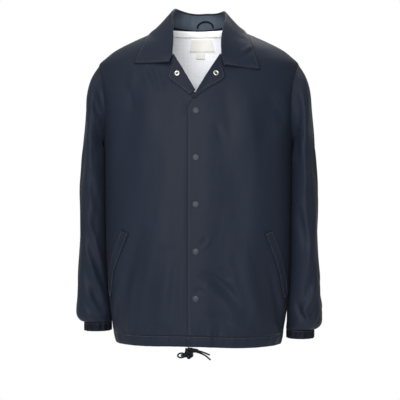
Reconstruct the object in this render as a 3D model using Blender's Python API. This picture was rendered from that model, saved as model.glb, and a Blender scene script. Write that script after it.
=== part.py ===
"""Coach jacket in nylon, filled out as if worn by nobody, with its collar turned open.

Blender 4.5 script. The tables are in millimetres and the meshes in metres, +Z up, and the
front faces -Y. The origin is where the wearer holds the jacket up: midway between the two
high shoulder points. "Left" is the wearer's left, which is +X.
"""

import math

import bmesh
import bpy
import numpy as np
from mathutils import Vector
from mathutils.bvhtree import BVHTree

MM = 0.001

# Driving sizes of the jacket
HEM_Z = -745.0            # hem edge below the high shoulder point
CASING_HEIGHT = 24.0      # turned-up tunnel for the drawcord
UNDERARM_Z = -285.0
SHOULDER_POINT_Z = -101.0
NAPE_DROP = 6.0
FRONT_EXTENSION = 20.0    # each front runs past the centre line by this much
SNAP_SPACING = 105.5
TOP_SNAP_Z = -214.0
SNAP_COUNT = 5

# Walls and gaps
SHELL_CLOTH = 2.0
DOUBLE_CLOTH = 2.4
THIN_CLOTH = 1.0
SEAM_GAP = 0.3
OVERLAP_STEP = 3.4        # the left front lies this far above the right one
OVERLAP_RAMP = (24.0, 56.0)

# Cells along the panels
FRONT_COLUMNS = 11
HALF_BACK_COLUMNS = 10
BODY_ROWS = 13
ARMHOLE_ROWS = 12
HALF_NECK_COLUMNS = 5
SLEEVE_AROUND = 2 * ARMHOLE_ROWS

CASING_TOP_Z = HEM_Z + CASING_HEIGHT


def table(columns, *rows):
    """A short table as arrays by column name."""
    return {name: np.array([row[i] for row in rows], float) for i, name in enumerate(columns.split())}


# Horizontal sections through the body, from the neck down
TORSO = table(
    "z half_width front_depth back_depth squareness",
    (10, 60, 50, 58, 1.7),
    (0, 76, 60, 66, 1.7),
    (-8, 87, 66, 71, 1.7),
    (-18, 102, 72, 78, 1.7),
    (-36, 142, 80, 87, 1.72),
    (-52, 176, 88, 95, 1.78),
    (-66, 201, 94, 101, 1.85),
    (-80, 218, 99, 107, 1.95),
    (-101, 236, 106, 115, 2.1),
    (-150, 236, 121, 129, 2.3),
    (-200, 230, 131, 137, 2.4),
    (-285, 221, 141, 142, 2.4),
    (-400, 218, 147, 138, 2.4),
    (-520, 216, 150, 133, 2.4),
    (-620, 212, 149, 132, 2.35),
    (-680, 205, 147, 131, 2.3),
    (-721, 198, 144, 129, 2.25),
    (-745, 193, 141, 127, 2.2),
)

# Largest folds of the body: a soft ridge, or a trough where the height is negative, from a to b
BODY_FOLDS = table(
    "angle_a z_a angle_b z_b width height",
    (-62, -130, -50, -230, 16, -3.5),
    (-40, -120, -34, -320, 26, 4.5),
    (-52, -240, -50, -420, 24, -4.0),
    (-27, -380, -36, -690, 24, 5.0),
    (-44, -460, -54, -690, 17, -4.5),
    (-55, -430, -68, -690, 14, 5.0),
    (-20, -520, -24, -700, 17, -3.5),
    (44, -130, 40, -330, 24, 4.0),
    (62, -160, 54, -300, 18, -4.0),
    (30, -300, 34, -480, 24, -3.5),
    (50, -350, 46, -560, 24, 4.0),
    (12, -585, 34, -650, 15, -4.5),
    (30, -560, 50, -700, 18, 4.5),
    (64, -600, 60, -700, 13, -4.0),
    (112, -150, 122, -400, 28, 5.0),
    (140, -170, 146, -560, 26, -4.0),
    (122, -460, 114, -700, 22, 4.5),
    (168, -330, 160, -700, 30, 4.5),
    (200, -300, 206, -690, 24, -3.5),
    (232, -160, 224, -520, 28, 4.5),
    (246, -440, 254, -700, 20, -4.0),
)
FOLD_RADIUS = 190.0       # turns the folds' angles into millimetres round the body

# How far the hem hangs below its mean height round the body: lowest on the wearer's left front
HEM_DROP = table(
    "angle drop",
    (-180, 0), (-120, 1), (-85, 2.2), (-55, 2.2), (-20, 0.3), (2, 0.3), (24, 3.0), (48, 5.0), (80, 4.5),
    (120, 2), (180, 0),
)
HEM_DROP_FROM_Z = -500.0

# The front's edge, from the centre line up its roll and round the neck, at +X
ROLL_LINE = table("x z", (-20, -204), (-2, -180), (31, -124), (58.5, -79))
NECK_LINE = table("x z", (58.5, -79), (64.5, -62), (69, -46), (72.5, -30), (75.5, -16), (76, -5))

# Sleeve rings from the armhole down: outermost and innermost points, mid-depth and half-depth
SLEEVE = table(
    "outer_x outer_z inner_x inner_z centre_y half_depth",
    (236, -101, 221, -285, 3, 66),
    (247, -118, 227, -289, 4, 74),
    (256, -139, 228.5, -295, 5, 78),
    (262, -166, 228.5, -304, 6, 80),
    (265, -200, 227.5, -317, 7, 82),
    (268, -240, 225.8, -336, 8, 83),
    (272, -290, 224.2, -362, 9, 83),
    (275, -345, 222.6, -398, 10, 82),
    (277.5, -405, 221.7, -442, 10, 81),
    (278, -465, 220.6, -492, 10, 79),
    (281, -530, 219, -548, 9, 76),
    (284.5, -590, 216.9, -602, 8, 72),
    (287, -640, 213.3, -648, 6, 67),
    (289, -672, 209.8, -678, 4, 62),
    (288, -688, 208, -691, 3, 58),
    (281, -699, 207, -699, 2, 51),
    (268, -703, 207, -703, 2, 42),
)
SLEEVE_STRETCH = {"right": -2.0, "left": 14.0}  # how much lower than the mean each sleeve hangs
STRETCH_FROM_Z = -300.0
SLEEVE_ROUNDNESS = 2.15
# The sleeve's inner side is pressed towards the body and keeps just clear of it
SLEEVE_PRESS = 8.0
SLEEVE_CLEARANCE = 1.3
PRESS_TOP = (-335.0, -290.0)
PRESS_BOTTOM = (-700.0, -672.0)
PRESS_SIDE = (0.25, 0.85)     # share of the half-width, towards the body, where the press sets in

SLEEVE_FOLDS = table(
    "turn_a z_a turn_b z_b width height",
    (20, -190, 70, -330, 13, -3.5),
    (35, -330, 120, -520, 12, -4.0),
    (15, -360, 85, -600, 12, 3.5),
    (60, -560, 125, -680, 11, -3.5),
    (20, -560, 60, -670, 12, 3.0),
    (250, -260, 320, -420, 14, -4.0),
    (235, -420, 300, -620, 13, 3.5),
    (330, -480, 350, -650, 13, -3.0),
)
SLEEVE_FOLD_RADIUS = 62.0

CUFF_CENTRE_X = 239.0
CUFF_HALF_WIDTH = 31.0
CUFF_HALF_DEPTH = 42.0
CUFF_CENTRE_Y = 2.0
CUFF_HEIGHT = 19.5
CUFF_GATHERS = 14
CASING_GATHERS_PER_TURN = 36
CASING_BULGE = 2.2

# The collar's roll, from the centre back to its front end beside the lapel
COLLAR_ROLL = table(
    "station x y z",
    (0, 0, 63, 28),
    (2, 25, 58, 29.2),
    (4, 43.5, 43, 30.3),
    (6, 56, 3, 27.5),
    (8, 61.5, -34, 5),
    (10, 60, -68, -34),
    (11.5, 57.5, -93, -73),
    (14, 64.5, -115, -107),
)
# The leaf's outer edge: polar angle on the body at the back, front-view place on the chest
LEAF_BACK_EDGE = table("station angle z", (0, 180, -31), (2, 152, -32), (4, 122, -29), (6, 90, -17))
LEAF_FRONT_EDGE = table("station x z", (8, 119, -43), (10, 130, -69), (12, 138.5, -93), (14, 144, -111))
LEAF_TIP_DROP = {1: 8.0, -1: -8.0}              # the left leaf's point hangs lower
ROLL_TILT = 3.2                                 # and its roll sits lower over the shoulder
ROLL_SHIFT = 2.0                                # both sides of the roll stand a little to the left
STAND_END_STATION = 11.5
# One station for each point of the neck seam, straight across the stand from it
STAND_STATIONS = np.array([0, 1.2, 2.4, 3.6, 4.8, 6, 7, 8, 8.9, 9.8, 10.65, STAND_END_STATION])
LEAF_STATIONS = np.append(STAND_STATIONS, (12.3, 13.15, 14.0))
LEAF_LIFT = 2.9
GORGE_DROP_SHARE = 0.4     # how much of the point's drop the low roll takes
COLLAR_ROLL_RADIUS = 3.0
LOW_ROLL_RADIUS = 1.8

# Turned-back lapels: fold and free edge, from the tip up to the collar. The right one is tucked
# under the left front, so it starts higher.
LAPEL_TOP = ((30, -125.7, 62.5, -139.5), (43.5, -103.5, 61.5, -124), (55, -84.7, 58, -108))
LAPELS = {
    1: table("fold_x fold_z edge_x edge_z",
             (-6, -185.3, -1, -184), (3, -171.5, 12, -172.5), (14, -152.8, 34, -157.5), *LAPEL_TOP),
    -1: table("fold_x fold_z edge_x edge_z",
              (5, -168.1, 14, -178), (14, -152.8, 36, -160), *LAPEL_TOP),
}
LAPEL_ROLL_RADIUS = 2.2

POCKET = table("angle z", (55, -488), (65, -562), (74, -634))
WELT_WIDTH = 19.0
WELT_CLEARANCE = 1.6
WELT_ROWS = 11
RING_SNAP_PLACE = (43.5, -129.0)
CAP_RADIUS = 7.5
CAP_HEIGHT = 2.6
RING_RADIUS = 6.2

LABEL_SIZE = (52.0, 29.0)
LABEL_TOP_Z = -24.0
LABEL_ANGLE = 177.5
LABEL_SPACING = 1.0
SIZE_TAB_SIZE = (20.0, 16.0)
SIZE_TAB_ANGLE = 180.0
NECK_TAPE_TOP_Z = -8.2
NECK_TAPE_HEIGHT = 12.0
NECK_TAPE_HALF_ANGLE = 56.0

CORD_DIAMETER = 3.6
HANGER_DIAMETER = 4.0


class Curve:
    """A smooth line through a table's rows that never swings past them."""

    def __init__(self, at, values):
        order = np.argsort(at)
        self.at = np.asarray(at, float)[order]
        self.values = np.asarray(values, float)[order]
        step = np.diff(self.at)
        slope = np.diff(self.values) / step
        tangent = np.zeros(len(self.at))
        tangent[0], tangent[-1] = slope[0], slope[-1]
        for i in range(1, len(self.at) - 1):
            if slope[i - 1] * slope[i] > 0:
                before, after = 2 * step[i] + step[i - 1], step[i] + 2 * step[i - 1]
                tangent[i] = (before + after) / (before / slope[i - 1] + after / slope[i])
        self.tangent = tangent

    def __call__(self, at):
        at = np.clip(np.asarray(at, float), self.at[0], self.at[-1])
        i = np.clip(np.searchsorted(self.at, at, side="right") - 1, 0, len(self.at) - 2)
        step = self.at[i + 1] - self.at[i]
        t = (at - self.at[i]) / step
        return (
            (2 * t**3 - 3 * t**2 + 1) * self.values[i]
            + (t**3 - 2 * t**2 + t) * step * self.tangent[i]
            + (3 * t**2 - 2 * t**3) * self.values[i + 1]
            + (t**3 - t**2) * step * self.tangent[i + 1]
        )


def smoothstep(low, high, value):
    t = np.clip((np.asarray(value, float) - low) / (high - low), 0, 1)
    return t * t * (3 - 2 * t)


def unit(vectors):
    return vectors / np.maximum(np.linalg.norm(vectors, axis=-1, keepdims=True), 1e-9)


def fold_relief(u, z, folds, a, b, radius):
    """Height in mm of the soft ridges and troughs at arc place u and height z, both in mm."""
    relief = np.zeros(np.broadcast(u, z).shape)
    for i in range(len(folds["width"])):
        start = np.array([folds[a][i] * math.pi / 180 * radius, folds["z_a"][i]])
        run = np.array([folds[b][i] * math.pi / 180 * radius, folds["z_b"][i]]) - start
        t = np.clip(((u - start[0]) * run[0] + (z - start[1]) * run[1]) / (run @ run), 0, 1)
        away = (u - start[0] - t * run[0]) ** 2 + (z - start[1] - t * run[1]) ** 2
        swell = 0.25 + 0.75 * np.sin(math.pi * t)
        relief += folds["height"][i] * swell * np.exp(-away / folds["width"][i] ** 2)
    return relief


# The body's form

TORSO_CURVES = {name: Curve(TORSO["z"], TORSO[name]) for name in TORSO if name != "z"}
HEM_DROP_CURVE = Curve(HEM_DROP["angle"], HEM_DROP["drop"])


def body_ring(angle, z):
    """Smooth body without folds. Angle 0 is the centre front, 90 the wearer's left side."""
    angle, z = np.broadcast_arrays(np.asarray(angle, float), np.asarray(z, float))
    sine, cosine = np.sin(np.radians(angle)), np.cos(np.radians(angle))
    width = TORSO_CURVES["half_width"](z)
    depth = np.where(cosine >= 0, TORSO_CURVES["front_depth"](z), TORSO_CURVES["back_depth"](z))
    power = TORSO_CURVES["squareness"](z)
    radius = (np.abs(sine / width) ** power + np.abs(cosine / depth) ** power) ** (-1 / power)
    drop = HEM_DROP_CURVE((angle + 180) % 360 - 180) * smoothstep(HEM_DROP_FROM_Z, HEM_Z, z)
    return np.stack([radius * sine, -radius * cosine, z - drop], -1)


def outward(surface, angle, z):
    """Unit normals of a surface given by angle and height, by small differences."""
    round_step, up_step = 0.4, 1.0
    across = surface(angle + round_step, z) - surface(angle - round_step, z)
    upward = surface(angle, z + up_step) - surface(angle, z - up_step)
    return unit(np.cross(across, upward))


def front_angle(x, z):
    """Polar angle of the point of the front that is seen at x and z."""
    x, z = np.asarray(x, float), np.asarray(z, float)
    power = TORSO_CURVES["squareness"](z)
    share = np.clip(np.abs(x) / TORSO_CURVES["half_width"](z), 0, 0.9999)
    depth = TORSO_CURVES["front_depth"](z) * (1 - share**power) ** (1 / power)
    return np.degrees(np.arctan2(x, depth))


def body_relief(angle, z):
    """Folds of the body, faded out at the side and shoulder seams, the neck and the hem."""
    wrapped = np.where(angle < -90, angle + 360, angle)
    u = np.radians(wrapped) * FOLD_RADIUS
    relief = fold_relief(u, z, BODY_FOLDS, "angle_a", "angle_b", FOLD_RADIUS)
    off_side = smoothstep(4, 24, np.abs(np.abs((wrapped % 180) - 90)))
    return relief * off_side * smoothstep(-40, -130, z) * smoothstep(CASING_TOP_Z, CASING_TOP_Z + 45, z)


def body_cloth(angle, z):
    """Mid-surface of the body's cloth, with its folds."""
    angle, z = np.broadcast_arrays(np.asarray(angle, float), np.asarray(z, float))
    normal = outward(body_ring, angle, z)
    return body_ring(angle, z) + normal * body_relief(angle, z)[..., None]


def left_front_cloth(angle, z):
    """The left front's mid-surface, which steps up over the right front near the centre."""
    lower = body_cloth(angle, z)
    step = OVERLAP_STEP * (1 - smoothstep(*OVERLAP_RAMP, lower[..., 0]))
    return lower + outward(body_cloth, angle, z) * step[..., None]


# Walls of cloth

MATERIALS = {}


def material(name, colour, roughness, metallic=0.0):
    if name not in MATERIALS:
        made = bpy.data.materials.new(name)
        made.use_nodes = True
        shader = made.node_tree.nodes["Principled BSDF"]
        shader.inputs["Base Color"].default_value = (*colour, 1.0)
        shader.inputs["Roughness"].default_value = roughness
        shader.inputs["Metallic"].default_value = metallic
        MATERIALS[name] = made
    return MATERIALS[name]


def shell_nylon():
    return material("shell_nylon", (0.021, 0.027, 0.042), 0.5)


def lining_cloth():
    return material("lining_cloth", (0.75, 0.77, 0.80), 0.8)


def label_weave():
    return material("label_weave", (0.72, 0.71, 0.66), 0.7)


def snap_enamel():
    return material("snap_enamel", (0.05, 0.06, 0.08), 0.4)


def snap_nickel():
    return material("snap_nickel", (0.7, 0.7, 0.68), 0.25, 1.0)


def cord_braid():
    return material("cord_braid", (0.008, 0.010, 0.016), 0.8)


OUTSIDES, INSIDES = {}, {}    # each wall's two faces, for laying other pieces on them


def add_object(name, points, faces, finish):
    """One closed mesh from points in millimetres, with its faces turned outwards."""
    mesh = bmesh.new()
    corners = [mesh.verts.new(Vector(point) * MM) for point in points]
    for face in faces:
        mesh.faces.new([corners[i] for i in face])
    bmesh.ops.recalc_face_normals(mesh, faces=mesh.faces[:])
    bmesh.ops.triangulate(mesh, faces=mesh.faces[:])
    data = bpy.data.meshes.new(name)
    mesh.to_mesh(data)
    mesh.free()
    data.materials.append(finish)
    data.shade_smooth()
    data.set_sharp_from_angle(angle=math.radians(50))
    made = bpy.data.objects.new(name, data)
    bpy.context.scene.collection.objects.link(made)
    return made


def grid_cells(rows, columns, ring=False):
    """The four corners of each cell of a grid of points, row after row."""
    cells = []
    for r in range(rows - 1):
        for c in range(columns if ring else columns - 1):
            a, b = r * columns + c, r * columns + (c + 1) % columns
            cells.append((a, b, b + columns, a + columns))
    return cells


def free_edges(cells):
    """Edges that belong to one cell only, with that cell."""
    seen = {}
    for cell in cells:
        for a, b in zip(cell, cell[1:] + cell[:1]):
            seen.setdefault((min(a, b), max(a, b)), []).append(cell)
    return {edge: owners[0] for edge, owners in seen.items() if len(owners) == 1}


def eased(points, normals, edges):
    """The points with each free edge drawn back along the cloth by half a seam gap."""
    pulls = {}
    for (a, b), cell in edges.items():
        run = unit(points[b] - points[a])
        inward = unit(np.cross(normals[a] + normals[b], run))
        inward *= np.sign((points[list(cell)].mean(axis=0) - (points[a] + points[b]) / 2) @ inward)
        pulls.setdefault(a, []).append(inward)
        pulls.setdefault(b, []).append(inward)
    points = points.copy()
    for i, (first, second) in pulls.items():
        gap = SEAM_GAP / 2 * np.linalg.norm(normals[i])
        points[i] += gap * (first + second) / max(1 + first @ second, 0.5)
    return points


def wall(name, middle, normal, thickness, finish, ring=False, cells=None):
    """A closed wall of cloth about its middle points, which are a grid unless cells are given."""
    if cells is None:
        cells = grid_cells(*middle.shape[:2], ring)
    middle, normal = middle.reshape(-1, 3), normal.reshape(-1, 3)
    edges = free_edges(cells)
    middle = eased(middle, normal, edges)
    outer, inner = middle + normal * thickness / 2, middle - normal * thickness / 2
    triangles = []
    for a, b, c, d in cells:
        if np.sum((outer[a] - outer[c]) ** 2) <= np.sum((outer[b] - outer[d]) ** 2):
            split = [(a, b, c), (a, c, d)]
        else:
            split = [(a, b, d), (b, c, d)]
        for i, j, k in split:
            facing = np.cross(outer[j] - outer[i], outer[k] - outer[i]) @ (normal[i] + normal[j] + normal[k])
            triangles.append((i, j, k) if facing > 0 else (i, k, j))
    count = len(middle)
    faces = triangles + [(i + count, k + count, j + count) for i, j, k in triangles]
    faces += [(a, b, b + count, a + count) for a, b in edges]
    OUTSIDES[name] = (outer, triangles)
    INSIDES[name] = (inner, [(i, k, j) for i, j, k in triangles])
    return add_object(name, np.concatenate([outer, inner]), faces, finish)


def grid_normals(grid, towards, ring=False):
    """Unit normals of a grid of points, turned towards the same side as the given vectors."""
    if ring:
        across = np.roll(grid, -1, 1) - np.roll(grid, 1, 1)
    else:
        across = np.gradient(grid, axis=1)
    normals = unit(np.cross(across, np.gradient(grid, axis=0)))
    flip = np.sign(np.sum(normals * towards, -1, keepdims=True))
    return normals * np.where(flip == 0, 1, flip)


def mitre(first, second):
    """Joint vectors between two walls' normals, lengthened so that both keep their thickness."""
    half = unit(first + second)
    return half / np.maximum(np.sum(half * first, -1, keepdims=True), 0.6)


def surface_tree(sides, *names):
    """One side of some walls, for laying other pieces on it. Works in millimetres."""
    corners, faces = [], []
    for name in names:
        points, triangles = sides[name]
        faces += [tuple(len(corners) + i for i in triangle) for triangle in triangles]
        corners += [Vector(point) for point in points]
    return BVHTree.FromPolygons(corners, faces)


def lay_on(tree, points, normals, lift):
    """Points moved along their normals to a height above the pieces in the tree."""
    reach = 40.0
    laid = np.array(points, float)
    for index in np.ndindex(laid.shape[:-1]):
        point, normal = Vector(points[index]), Vector(normals[index])
        hit = tree.ray_cast(point + normal * reach, -normal)[0]
        height = lift[index] if isinstance(lift, np.ndarray) else lift
        laid[index] = (point if hit is None else hit) + normal * height
    return laid


# Seams that several pieces share


def armhole_place(turn):
    """Angle and height on the body of a place on the left armhole. Turn 0 is the shoulder point,
    90 the front, 180 the underarm and 270 the back."""
    turn = np.radians(np.asarray(turn, float))
    forward = np.sin(turn)
    middle, half = (SHOULDER_POINT_Z + UNDERARM_Z) / 2, (SHOULDER_POINT_Z - UNDERARM_Z) / 2
    spread = np.where(forward >= 0, 15.5, 17.5)
    return 90 - spread * forward, middle + half * np.cos(turn)


def back_neck_z(angle):
    return -NAPE_DROP * np.cos(np.radians((np.asarray(angle, float) - 180))) ** 2


def front_edge_places():
    """Angle and height up the left front's free edge: centre line, roll line, then neck line."""
    straight = np.linspace(CASING_TOP_Z, UNDERARM_Z, BODY_ROWS + 1)
    to_roll = ARMHOLE_ROWS - (len(ROLL_LINE["x"]) - 1) - len(NECK_LINE["x"])
    rising = np.linspace(UNDERARM_Z, ROLL_LINE["z"][0], to_roll + 1)[1:]
    plain = np.full(len(straight) + len(rising), -FRONT_EXTENSION)
    xs = np.concatenate([plain, ROLL_LINE["x"][1:], NECK_LINE["x"][1:]])
    zs = np.concatenate([straight, rising, ROLL_LINE["z"][1:], NECK_LINE["z"][1:]])
    return np.append(front_angle(xs, zs), 90.0), np.append(zs, 0.0)


def back_edge_places():
    """Angle and height up the centre back and then along the neck to the shoulder, at +X."""
    straight = np.linspace(CASING_TOP_Z, UNDERARM_Z, BODY_ROWS + 1)
    to_nape = ARMHOLE_ROWS - HALF_NECK_COLUMNS
    climb = UNDERARM_Z + (-NAPE_DROP - UNDERARM_Z) * np.linspace(0, 1, to_nape + 1)[1:] ** 0.85
    neck = np.linspace(180, 90, HALF_NECK_COLUMNS + 1)[1:]
    angles = np.concatenate([np.full(len(straight) + len(climb), 180.0), neck])
    return angles, np.concatenate([straight, climb, back_neck_z(neck)])


def side_edge_places(last_turn):
    """Angle and height up a side seam and then round half of the armhole."""
    angles, heights = armhole_place(np.linspace(180, last_turn, ARMHOLE_ROWS + 1)[1:])
    seam = np.linspace(CASING_TOP_Z, UNDERARM_Z, BODY_ROWS + 1)
    return np.concatenate([np.full(BODY_ROWS + 1, 90.0), angles]), np.concatenate([seam, heights])


def panel_places(edge, side, columns):
    """Angle and height of every point between a panel's middle edge and its side edge."""
    s = np.linspace(0, 1, columns + 1)[None, :]
    return [a[:, None] * (1 - s) + b[:, None] * s for a, b in zip(edge, side)]


def body_side_x(y, z):
    """The body's half-width at each depth and height, the larger of its two sides."""
    angles = np.arange(40.0, 141.0, 2.0)[:, None]
    widths = []
    for side in (1, -1):
        points = body_cloth(side * angles, z.ravel()[None, :])
        widths.append([np.interp(depth, points[:, k, 1], side * points[:, k, 0])
                       for k, depth in enumerate(y.ravel())])
    return np.maximum(*np.array(widths)).reshape(y.shape)


def pressed(rings, inward):
    """The left sleeve's x with its inner side moved to the body, as far as it may go."""
    x, y, z = np.moveaxis(rings, -1, 0)
    share = smoothstep(*PRESS_SIDE, inward) * smoothstep(*PRESS_TOP[::-1], z) * smoothstep(*PRESS_BOTTOM, z)
    nearest = body_side_x(y, z) + SHELL_CLOTH + SLEEVE_CLEARANCE
    return np.where(share > 0, np.maximum(x - SLEEVE_PRESS * share, nearest), x)


def sleeve_rings(drop):
    """Left sleeve's mid-surface without folds, ring by ring, and each point's outward direction."""
    turns = np.arange(SLEEVE_AROUND) * 360.0 / SLEEVE_AROUND
    cosine, sine = np.cos(np.radians(turns)), np.sin(np.radians(turns))
    power = 2 / SLEEVE_ROUNDNESS
    along, deep = np.sign(cosine) * np.abs(cosine) ** power, np.sign(sine) * np.abs(sine) ** power
    rings = []
    for i in range(len(SLEEVE["outer_x"])):
        outer = np.array([SLEEVE["outer_x"][i], SLEEVE["outer_z"][i]])
        inner = np.array([SLEEVE["inner_x"][i], SLEEVE["inner_z"][i]])
        centre, reach = (outer + inner) / 2, (outer - inner) / 2
        rings.append(np.stack([
            centre[0] + reach[0] * along,
            SLEEVE["centre_y"][i] - SLEEVE["half_depth"][i] * deep,
            centre[1] + reach[1] * along,
        ], -1))
    rings = np.array(rings)
    rings[0] = body_cloth(*armhole_place(turns))
    rings[..., 2] -= drop * smoothstep(STRETCH_FROM_Z, SLEEVE["outer_z"][-4], rings[..., 2])
    rings[..., 0] = pressed(rings, -along[None, :])
    return rings, rings - rings.mean(axis=1, keepdims=True)


def sleeve_cloth(drop):
    """Left sleeve's mid-surface with its folds, and its normals."""
    rings, away = sleeve_rings(drop)
    normals = grid_normals(rings, away, ring=True)
    turns = np.arange(SLEEVE_AROUND) * 360.0 / SLEEVE_AROUND
    u = np.radians(turns)[None, :] * SLEEVE_FOLD_RADIUS
    relief = fold_relief(u, rings[..., 2], SLEEVE_FOLDS, "turn_a", "turn_b", SLEEVE_FOLD_RADIUS)
    clear_of_body = 1 - smoothstep(0.45, 0.85, -np.cos(np.radians(turns)))[None, :]
    ends = np.minimum(np.arange(len(rings)), np.arange(len(rings))[::-1]) / 3.0
    relief *= clear_of_body * np.clip(ends, 0, 1)[:, None]
    rings = rings + normals * relief[..., None]
    return rings, grid_normals(rings, away, ring=True)


def mirrored(values):
    return values * np.array([-1.0, 1.0, 1.0])


def square_panel_edges(normal):
    """Edges that lie in one plane keep their wall in it: side and shoulder seams, and the hem."""
    normal[:BODY_ROWS + 1, -1, 1] = 0
    normal[-1, :, 1] = 0
    normal[0, :, 2] = 0
    return unit(normal)


def build_front(name, side, surface, armhole_joint, neck_joint):
    angle, z = panel_places(front_edge_places(), side_edge_places(0), FRONT_COLUMNS)
    normal = square_panel_edges(outward(surface, side * angle, z))
    normal[-len(neck_joint):, 0] = neck_joint
    normal[BODY_ROWS:, -1] = armhole_joint[ARMHOLE_ROWS::-1] * (side, 1, 1)
    wall(name, surface(side * angle, z), normal, SHELL_CLOTH, shell_nylon())


def build_back(armhole_joint, neck_joint):
    """The back's two halves share the points of the centre back, up to the nape."""
    angle, z = panel_places(back_edge_places(), side_edge_places(360), HALF_BACK_COLUMNS)
    nape_row = BODY_ROWS + ARMHOLE_ROWS - HALF_NECK_COLUMNS
    rows, columns = angle.shape
    halves = []
    for side in (1, -1):
        half_angle = angle if side > 0 else 360 - angle
        normal = square_panel_edges(outward(body_cloth, half_angle, z))
        around_neck = neck_joint[HALF_NECK_COLUMNS:] if side > 0 else neck_joint[HALF_NECK_COLUMNS::-1]
        normal[nape_row:, 0] = around_neck
        upward = np.append(armhole_joint[ARMHOLE_ROWS:], armhole_joint[:1], axis=0)
        normal[BODY_ROWS:, -1] = upward * (side, 1, 1)
        halves.append((body_cloth(half_angle, z), normal))
    cells = grid_cells(rows, columns)
    shared = {rows * columns + r * columns: r * columns for r in range(nape_row + 1)}
    for cell in grid_cells(rows, columns):
        shifted = [i + rows * columns for i in cell]
        cells.append(tuple(shared.get(i, i) for i in shifted))
    middle = np.concatenate([half[0].reshape(-1, 3) for half in halves])
    normal = np.concatenate([half[1].reshape(-1, 3) for half in halves])
    used = sorted({i for cell in cells for i in cell})
    place = {old: new for new, old in enumerate(used)}
    cells = [tuple(place[i] for i in cell) for cell in cells]
    wall("back", middle[used], normal[used], SHELL_CLOTH, shell_nylon(), cells=cells)


def build_body():
    """Fronts, back, sleeves and collar stand, which share their seams' points."""
    turns = np.arange(SLEEVE_AROUND) * 360.0 / SLEEVE_AROUND
    armhole_joint = mitre(outward(body_cloth, *armhole_place(turns)), sleeve_cloth(0.0)[1][0])
    angle, z = neck_places()
    stand, stand_normals = stand_cloth()
    neck_joint = mitre(outward(body_cloth, angle, z), stand_normals[0])

    front = len(NECK_LINE["x"]) + 1
    build_front("front_left", 1, left_front_cloth, armhole_joint, neck_joint[-front:][::-1])
    build_front("front_right", -1, body_cloth, armhole_joint, neck_joint[:front])
    build_back(armhole_joint, neck_joint[front - 1:len(neck_joint) - front + 1])
    stand_normals[0] = neck_joint
    wall("collar_stand", stand, stand_normals, DOUBLE_CLOTH, shell_nylon())
    for side in ("left", "right"):
        rings, normals = sleeve_cloth(SLEEVE_STRETCH[side])
        normals[0] = armhole_joint
        if side == "right":
            rings, normals = mirrored(rings), mirrored(normals)
        wall(f"sleeve_{side}", rings, normals, SHELL_CLOTH, shell_nylon(), ring=True)


# Collar


def neck_places():
    """Angle and height of the neck seam, from the right front's end round the back to the left's."""
    front = front_angle(NECK_LINE["x"], NECK_LINE["z"])
    back = np.linspace(90, 270, 2 * HALF_NECK_COLUMNS + 1)
    angle = np.concatenate([-front, -back, front[::-1] - 360])
    return angle, np.concatenate([NECK_LINE["z"], back_neck_z(back), NECK_LINE["z"][::-1]])


def tip_drop(stations, side):
    """How far one side of the collar hangs below the mean, nearing its point."""
    return LEAF_TIP_DROP[side] * smoothstep(6, LEAF_STATIONS[-1], stations)


def roll_points(stations, side):
    """Places on the collar's roll on one side, +1 the wearer's left."""
    x, y, z = (Curve(COLLAR_ROLL["station"], COLLAR_ROLL[key])(stations) for key in "xyz")
    gorge = smoothstep(STAND_END_STATION, LEAF_STATIONS[-1], stations)
    over_shoulder = smoothstep(1, 4, stations) * (1 - smoothstep(6.5, 9.5, stations))
    lower = GORGE_DROP_SHARE * gorge * tip_drop(stations, side) + ROLL_TILT * side * over_shoulder
    aside = ROLL_SHIFT * smoothstep(3.6, 5.4, stations) * (1 - smoothstep(8, 11, stations))
    return np.stack([x * side + aside, y, z - lower], -1)


def both_sides(stations, points_of):
    """Points of both sides in one run, from the right front end to the left one."""
    return np.concatenate([points_of(stations[::-1], -1), points_of(stations[1:], 1)])


def stand_cloth():
    """The stand's mid-surface from the neck seam up to the roll, and its outward normals."""
    seam = body_cloth(*neck_places())
    roll = both_sides(STAND_STATIONS, roll_points)
    rows = np.linspace(0, 1, 3)[:, None, None]
    stand = seam * (1 - rows) + roll * rows
    away = stand - np.array([0.0, -10.0, 0.0])
    away[..., 2] = 0
    return stand, grid_normals(stand, away)


def leaf_edge_points(stations, side):
    """Places on the leaf's outer edge, on the body."""
    heights = LEAF_FRONT_EDGE["z"] - tip_drop(LEAF_FRONT_EDGE["station"], side)
    chest = body_ring(front_angle(LEAF_FRONT_EDGE["x"], heights), heights)
    control = np.concatenate([body_ring(LEAF_BACK_EDGE["angle"], LEAF_BACK_EDGE["z"]), chest])
    at = np.concatenate([LEAF_BACK_EDGE["station"], LEAF_FRONT_EDGE["station"]])
    return np.stack([Curve(at, control[:, k])(stations) for k in range(3)], -1) * (side, 1, 1)


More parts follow.
